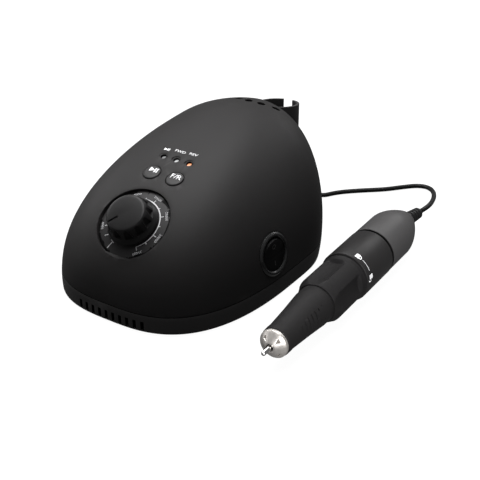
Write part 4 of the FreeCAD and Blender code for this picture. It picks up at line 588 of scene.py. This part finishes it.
# Back and left side: the handpiece's socket with its nickel nut, the plug that is in it, and the
# two-pin mains inlet in its recess.
plug_satin = moulded_plastic("plug satin", (0.0095, 0.0095, 0.01), (0.0125, 0.0125, 0.013),
                             rough=(0.4, 0.52))
nickel = worked_metal("nickel", (0.6, 0.6, 0.6), (0.8, 0.79, 0.78), rough=(0.12, 0.22))
dress("socket_nut", nickel)
dress("plug_contact", nickel)
dress("inlet_pins", brass)
dress("handpiece_socket", plug_satin)
refined("power_inlet", "inlet_housing", plug_satin, round_edge=0.0003)
plug = refined("plug_handle", "plug_grip", plug_satin, round_edge=0.0002)

# Holder: an upright clip of the tray's plastic, screwed on behind the dome and open to the rear.
# Its arms end in a slanting top edge, a little higher at the right and at the front.
clip = refined("handpiece_holder", "holder_clip", tray_black, round_edge=0.00035, steps=3)
ARMS_FROM = 0.056
CLIP_MIDDLE = 0.075919
TOP_RISE = 0.00077
RISE_TO_RIGHT = 0.0825
FALL_TO_REAR = 0.035
for point in clip.data.vertices:
    if point.co.z > ARMS_FROM:
        to_right = point.co.x - CASING_MIDDLE
        to_rear = point.co.y - CLIP_MIDDLE
        point.co.z += TOP_RISE + RISE_TO_RIGHT * to_right - FALL_TO_REAR * to_rear
dress("holder_screws", screw_steel)

# Handpiece, front end: the satin steel nose with its spanner pits, the pin that the collet holds,
# and the grip, moulded on its sleeve in soft-touch black with short grooves.
nose_steel = worked_metal("nose steel", (0.4, 0.38, 0.36), (0.53, 0.505, 0.48), rough=(0.3, 0.44),
                          stretch=(1.0, 0.2, 1.0), scale=600.0)
nose_steel.node_tree.nodes["Principled BSDF"].inputs["Metallic"].default_value = 0.72
refined("nose_cone", "nose", nose_steel, round_edge=0.00012, sharp=28.0)
refined("transit_pin", "shank", nickel, sharp=40.0)
soft_touch = moulded_plastic("soft touch black", (0.0094, 0.009, 0.0092), (0.012, 0.0115, 0.0117),
                             grain=2400.0, depth=0.00004, rough=(0.5, 0.62), gloss=0.06)
refined("grip_sleeve", "grip", soft_touch, round_edge=0.0002)

# Lock collar: a soft-touch ring between grip and barrel, whose turn works the collet. Its front
# rises in a curve, four long scallops with fine ribs in them give the fingers a hold, and its rear
# edge stands up in a lip whose back face is painted dark as the shade of the joint.
collar_black = moulded_plastic("collar black", (0.0092, 0.0088, 0.009), (0.0115, 0.011, 0.0113),
                               grain=2400.0, depth=0.00004, rough=(0.5, 0.6), gloss=0.05)
HAND_X = 0.0683943
HAND_Y = -0.0845807
HAND_Z = 0.0138
COLLAR_START = 0.0505
COLLAR_BORE = 0.0097
COLLAR_RADIUS = 0.0128
COLLAR_LENGTH = 0.0290
collar_profile = [
    (0.0103, 0.0), (0.0107, 0.0), (0.0109, 0.0002), (0.0113, 0.0011), (0.0119, 0.0025),
    (0.0123, 0.0035), (0.0126, 0.0040), (0.01275, 0.0044),
]
for station in (0.0049, 0.0080, 0.0120, 0.0160, 0.0200, 0.0225, 0.0232, 0.0237, 0.0241, 0.0245, 0.0249,
                0.0253, 0.0260, 0.0273):
    collar_profile.append((COLLAR_RADIUS, station))
collar_profile += [
    (0.0131, 0.0279), (0.0131, 0.0283), (0.0126, COLLAR_LENGTH), (COLLAR_BORE, COLLAR_LENGTH),
    (COLLAR_BORE, 0.0),
]
bpy.ops.object.select_all(action="DESELECT")
bpy.ops.mesh.primitive_circle_add(vertices=160, radius=COLLAR_BORE, fill_type="NOTHING")
collar = bpy.context.object
collar.name = "collar_ring"
collar.data.name = "collar_ring"
bpy.ops.object.mode_set(mode="EDIT")
bpy.ops.mesh.select_all(action="SELECT")
radius, station = COLLAR_BORE, 0.0
for next_radius, next_station in collar_profile:
    bpy.ops.mesh.extrude_region()
    bpy.ops.transform.resize(value=(next_radius / radius, next_radius / radius, 1.0))
    bpy.ops.transform.translate(value=(0.0, 0.0, next_station - station))
    radius, station = next_radius, next_station
bpy.ops.mesh.select_all(action="SELECT")
bpy.ops.mesh.remove_doubles(threshold=0.000002)
bpy.ops.mesh.normals_make_consistent(inside=False)
bpy.ops.object.mode_set(mode="OBJECT")
SCALLOP_RADIUS = 0.016
SCALLOP_DEPTH = 0.0022
SCALLOP_TURN = 12.0
SCALLOP_END = 0.0236
SCALLOP_FADE = 0.0014
FRONT_EDGE = 0.0100
scallop_centre = COLLAR_RADIUS - SCALLOP_DEPTH + SCALLOP_RADIUS
for point in collar.data.vertices:
    radius = math.hypot(point.co.x, point.co.y)
    quarter = math.degrees(math.atan2(point.co.y, point.co.x)) + 45.0 + SCALLOP_TURN
    swing = math.radians(quarter % 90.0 - 45.0)
    hollow = SCALLOP_RADIUS ** 2 - (scallop_centre * math.sin(swing)) ** 2
    if radius > FRONT_EDGE and hollow > 0:
        floor_radius = scallop_centre * math.cos(swing) - math.sqrt(hollow)
        fade = min(max((point.co.z - SCALLOP_END) / SCALLOP_FADE, 0.0), 1.0)
        cut = max(radius - floor_radius, 0.0) * (1.0 - fade * fade * (3.0 - 2.0 * fade))
        point.co.x *= (radius - cut) / radius
        point.co.y *= (radius - cut) / radius
collar_ribs = collar_black.copy()
collar_ribs.name = "collar ribs"
rib_nodes = collar_ribs.node_tree.nodes
rib_links = collar_ribs.node_tree.links
rib_place = rib_nodes.new("ShaderNodeTexCoord")
ribs = rib_nodes.new("ShaderNodeTexWave")
ribs.bands_direction = "Y"
ribs.inputs["Scale"].default_value = 380.0
rib_links.new(rib_place.outputs["Object"], ribs.inputs["Vector"])
rib_bump = rib_nodes.new("ShaderNodeBump")
rib_bump.inputs["Strength"].default_value = 0.7
rib_bump.inputs["Distance"].default_value = 0.0002
rib_links.new(ribs.outputs["Fac"], rib_bump.inputs["Height"])
rib_links.new(rib_bump.outputs["Normal"], rib_nodes["Principled BSDF"].inputs["Normal"])
RIBS_START = 0.0060
RIBS_END = 0.0232
RIBS_INNER = 0.0105
RIBS_OUTER = 0.01268
REAR_EDGE_START = 0.0284
REAR_EDGE_INNER = 0.0125
collar.data.materials.append(collar_black)
collar.data.materials.append(collar_ribs)
for face in collar.data.polygons:
    in_scallop = RIBS_INNER < face.center.xy.length < RIBS_OUTER
    if in_scallop and RIBS_START < face.center.z < RIBS_END:
        face.material_index = 1


def on_rear_edge(face):
    """True for the narrow face behind the lip, which is painted dark as the joint's shade."""
    return face.center.xy.length > REAR_EDGE_INNER and face.center.z > REAR_EDGE_START


darken(collar, on_rear_edge)
collar.data.transform(Matrix.Translation((HAND_X, HAND_Y + COLLAR_START, HAND_Z))
                      @ Matrix.Rotation(math.radians(-90.0), 4, "X"))
pick_only(collar)
bpy.ops.object.shade_smooth_by_angle(angle=math.radians(30.0))
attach(collar, "collar")
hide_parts("lock_collar")

# Barrel and rear cap: a satin tube over the motor, and a moulded cap that closes its rear end,
# greyer than the barrel, whose front edge is painted dark as the shade of the groove where the two meet.
barrel_black = moulded_plastic("barrel black", (0.0112, 0.0107, 0.0108), (0.014, 0.0134, 0.0136),
                               grain=2400.0, depth=0.00004, rough=(0.36, 0.46))
barrel = refined("barrel", "barrel_tube", barrel_black, round_edge=0.0003)
cap_black = moulded_plastic("cap black", (0.038, 0.037, 0.0374), (0.046, 0.045, 0.0454),
                            grain=2400.0, depth=0.00004, rough=(0.4, 0.5))
CAP_SHADE_END = 0.0254
tail = refined("rear_cap", "tail_cap", cap_black, round_edge=0.0008, steps=3)
# The cap's front edge, up to where the groove ends, is painted dark as the groove's shade.
darken(tail, lambda face: face.center.y < CAP_SHADE_END)

# Inside the handpiece: ground steel for the spindle, its tube and bearings, the collet with its
# drawbar, pin, rings and springs, the cam sleeve and the motor's can; ferrite magnets, a wound
# rotor, and a moulded end cap and coupling.
ground_steel = worked_metal("ground steel", (0.5, 0.5, 0.51), (0.7, 0.7, 0.71), rough=(0.22, 0.34),
                            stretch=(1.0, 0.25, 1.0))
for inner in ("spindle_tube", "front_bearing", "rear_bearing", "spindle_shaft", "collet", "drawbar",
              "cross_pin", "thrust_ring", "disc_springs", "cam_sleeve", "motor_can"):
    dress(inner, ground_steel)
dress("motor_end_cap", plug_satin)
dress("drive_coupling", plug_satin)
ferrite = moulded_plastic("ferrite", (0.07, 0.07, 0.075), (0.12, 0.12, 0.125), grain=1500.0,
                          rough=(0.6, 0.75))
dress("motor_magnets", ferrite)
dress("motor_rotor", winding_tape)

# Lock signs on the barrel behind the collar, printed in white: a closed and an open padlock with
# a line between them, for the way the collar turns.
SIGN_STATION = 0.0832
CLOSED_AT = 68.0
OPEN_AT = 14.0
OPEN_BY = 0.0014
LINE_LENGTH = 0.0063
LINE_WIDTH = 0.0003


def padlock(open_by):
    """A body with round corners, and a shackle over it that is moved aside by open_by."""
    body_width, body_height, shackle_radius = 0.0031, 0.0023, 0.00125
    shackle_rise, shackle_inner = 0.0013, 0.62
    bpy.ops.object.select_all(action="DESELECT")
    bpy.ops.mesh.primitive_plane_add(size=1.0)
    body = bpy.context.object
    bpy.ops.object.mode_set(mode="EDIT")
    bpy.ops.mesh.select_all(action="SELECT")
    bpy.ops.mesh.bevel(offset=0.12, segments=3, affect="VERTICES")
    bpy.ops.mesh.subdivide(number_cuts=3)
    bpy.ops.object.mode_set(mode="OBJECT")
    body.data.transform(Matrix.Diagonal((body_width, body_height, 1.0, 1.0)))
    shackle = part_circle(32, shackle_radius, 0.0, 180.0)
    for point in shackle.data.vertices:
        if point.select:
            point.co *= shackle_inner
    shackle.data.transform(Matrix.Translation((open_by, shackle_rise, 0)))
    return [body, shackle]


def round_barrel(angle, turn):
    """Place on the barrel: angle from the side with the switch, upwards, with its own turn."""
    swing = math.radians(angle)
    out = Vector((math.cos(swing), 0.0, math.sin(swing)))
    along = Vector((0.0, 1.0, 0.0))
    across = along.cross(out)
    axes = Matrix((across, along, out)).transposed().to_4x4()
    middle = Matrix.Translation((HAND_X, HAND_Y + SIGN_STATION, HAND_Z))
    return middle @ axes @ Matrix.Rotation(turn, 4, "Z")


for name, angle, open_by in (("closed_sign", CLOSED_AT, 0.0), ("open_sign", OPEN_AT, OPEN_BY)):
    laid_on(padlock(open_by), name, round_barrel(angle, math.radians(-90)), barrel, symbol_ink,
            "handpiece")
between = (CLOSED_AT + OPEN_AT) / 2
laid_on([bar(0.0, 0.0, LINE_LENGTH, LINE_WIDTH, 0.0)], "turn_line", round_barrel(between, 0.0), barrel,
        symbol_ink, "handpiece")

# Lead: one thin rubber-covered cord from the boot on the handpiece, down to the table, round in a
# loop beside the casing and behind it, where the rest lies coiled, and up to the plug. The coil is
# wound inwards and outwards in turn, layer on layer.
cord_rubber = moulded_plastic("cord rubber", (0.0062, 0.0062, 0.0064), (0.0088, 0.0088, 0.009),
                              grain=1800.0, depth=0.00005, rough=(0.36, 0.48))
refined("cord_boot", "boot", cord_rubber, round_edge=0.00015, sharp=36.0)
LEAD_DIAMETER = 0.0028
route = [
    (0.0714, 0.08296, 0.0138), (0.07253, 0.08936, 0.0138), (0.0692, 0.1039, 0.0096),
    (0.0651, 0.1171, 0.0065), (0.0599, 0.1276, 0.004), (0.0536, 0.1338, 0.0023),
    (0.0468, 0.1337, 0.0015), (0.0402, 0.1271, 0.0015), (0.032, 0.1177, 0.0015),
    (0.0205, 0.1087, 0.0015), (0.009, 0.0983, 0.0015), (0.0031, 0.088, 0.0015),
    (-0.00801, 0.09182, 0.0015), (-0.01511, 0.09982, 0.0015), (-0.01811, 0.11042, 0.0015),
    (-0.02654, 0.12131, 0.0015), (-0.03652, 0.12458, 0.0015),
]
COIL_X = -0.046106
COIL_Y = 0.106419
COIL_FLOOR = 0.0015
COIL_START = 70.0
COIL_PITCH = 0.0034
COIL_OUTER = 0.02025
LAYERS = 4
LAYER_TURNS = 2.5
CLIMB_TURNS = 0.5
TURN_POINTS = 16


def eased(share):
    """From 0 to 1 with a soft start and end."""
    share = min(max(share, 0.0), 1.0)
    return share * share * (3 - 2 * share)


for part_turn in range(int(LAYER_TURNS * LAYERS * TURN_POINTS) + 1):
    turns = part_turn / TURN_POINTS
    layer = min(int(turns / LAYER_TURNS), LAYERS - 1)
    within = turns - layer * LAYER_TURNS
    inward = within if layer % 2 == 0 else LAYER_TURNS - within
    radius = COIL_OUTER - COIL_PITCH * inward
    climbed = sum(eased((turns - step * LAYER_TURNS) / CLIMB_TURNS + 0.5) for step in range(1, LAYERS))
    swing = math.radians(COIL_START) + 2 * math.pi * turns
    route.append((COIL_X + radius * math.cos(swing), COIL_Y + radius * math.sin(swing),
                  COIL_FLOOR + COIL_PITCH * climbed))
route += [
    (-0.04178, 0.12649, 0.0117), (-0.04827, 0.1291, 0.0117), (-0.06211, 0.12992, 0.016),
    (-0.07361, 0.12592, 0.0215), (-0.07661, 0.11592, 0.0265), (-0.07236, 0.09947, 0.028),
    (-0.06595, 0.08933, 0.028),
]
lead_line = bpy.data.curves.new("lead", "CURVE")
lead_line.dimensions = "3D"
lead_line.bevel_depth = LEAD_DIAMETER / 2
lead_line.bevel_resolution = 4
lead_line.use_fill_caps = True
strand = lead_line.splines.new("NURBS")
strand.points.add(len(route) - 1)
for point, corner in zip(strand.points, route):
    point.co = (*corner, 1.0)
strand.order_u = 3
strand.use_endpoint_u = True
strand.resolution_u = 14
lead = bpy.data.objects.new("handpiece_lead", lead_line)
bpy.context.scene.collection.objects.link(lead)
lead_line.materials.append(cord_rubber)
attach(lead, "base_unit")
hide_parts("handpiece_cord", "cord_coil", "plug_cord")

# Table: a white light table that runs out to the horizon. It glows evenly, and throws no light
# back up on what stands on it.
bpy.ops.object.select_all(action="DESELECT")
bpy.ops.mesh.primitive_plane_add(size=60.0, location=(0, 0, -0.0001))
table = bpy.context.object
table.name = "table"
table_white = bpy.data.materials.new("table white")
table_white.use_nodes = True
sheet = table_white.node_tree.nodes["Principled BSDF"]
sheet.inputs["Base Color"].default_value = (0.08, 0.08, 0.08, 1.0)
sheet.inputs["Roughness"].default_value = 0.8
sheet.inputs["Specular IOR Level"].default_value = 0.1
sheet.inputs["Emission Color"].default_value = (1.0, 1.0, 1.0, 1.0)
sheet.inputs["Emission Strength"].default_value = 0.97
table.data.materials.append(table_white)
table.visible_diffuse = False
table.visible_glossy = False


# Light: five soft disks above, to the left and behind the machine, one low disk at the right that
# flags keep on the handpiece alone, and an even surround.
def soft_light(name, place, aim, size, power):
    """A round soft box at a place, turned to what it lights."""
    lamp = bpy.data.lights.new(name, "AREA")
    lamp.shape = "DISK"
    lamp.size = size
    lamp.energy = power
    holder = bpy.data.objects.new(name, lamp)
    bpy.context.scene.collection.objects.link(holder)
    holder.location = place
    holder.rotation_euler = (Vector(aim) - Vector(place)).to_track_quat("-Z", "Y").to_euler()
    return holder


MACHINE = (0.0, 0.0, 0.03)
HANDPIECE = (0.07, 0.0, 0.014)
soft_light("high light", (-0.38, 0.3, 1.05), MACHINE, size=0.8, power=17.3)
soft_light("top light", (0.0, 0.0, 1.15), MACHINE, size=0.8, power=10.6)
soft_light("left light", (-1.0, 0.1, 0.55), MACHINE, size=0.6, power=5.0)
soft_light("back light", (0.1, 1.1, 0.7), MACHINE, size=0.6, power=4.0)
soft_light("low light", (-0.9, -0.5, 0.12), MACHINE, size=0.4, power=1.0)
hand_light = soft_light("hand light", (0.75, -0.75, 0.35), HANDPIECE, size=0.6, power=17.0)
lit_by_it = bpy.data.collections.new("lit by the hand light")
for name in ("nose", "shank", "grip", "collar_ring", "barrel_tube", "tail_cap", "boot", "closed_sign",
             "open_sign", "turn_line"):
    lit_by_it.objects.link(bpy.data.objects[name])
hand_light.light_linking.receiver_collection = lit_by_it
surround = bpy.data.worlds.new("surround")
surround.use_nodes = True
surround.node_tree.nodes["Background"].inputs["Color"].default_value = (1.0, 1.0, 1.0, 1.0)
surround.node_tree.nodes["Background"].inputs["Strength"].default_value = 0.165
bpy.context.scene.world = surround
bpy.context.scene.view_settings.view_transform = "Standard"

# Camera: a long lens in front of the machine, round to its right and above it, that looks down
# on it at 30 degrees.
lens = bpy.data.cameras.new("camera")
lens.sensor_width = 36.0
lens.lens = 78.57
lens.clip_start = 0.01
lens.clip_end = 20.0
camera = bpy.data.objects.new("camera", lens)
bpy.context.scene.collection.objects.link(camera)
camera.location = (0.272596, -0.417429, 0.299974)
camera.rotation_euler = Vector((-0.472051, 0.726063, -0.5)).to_track_quat("-Z", "Y").to_euler()
bpy.context.scene.camera = camera
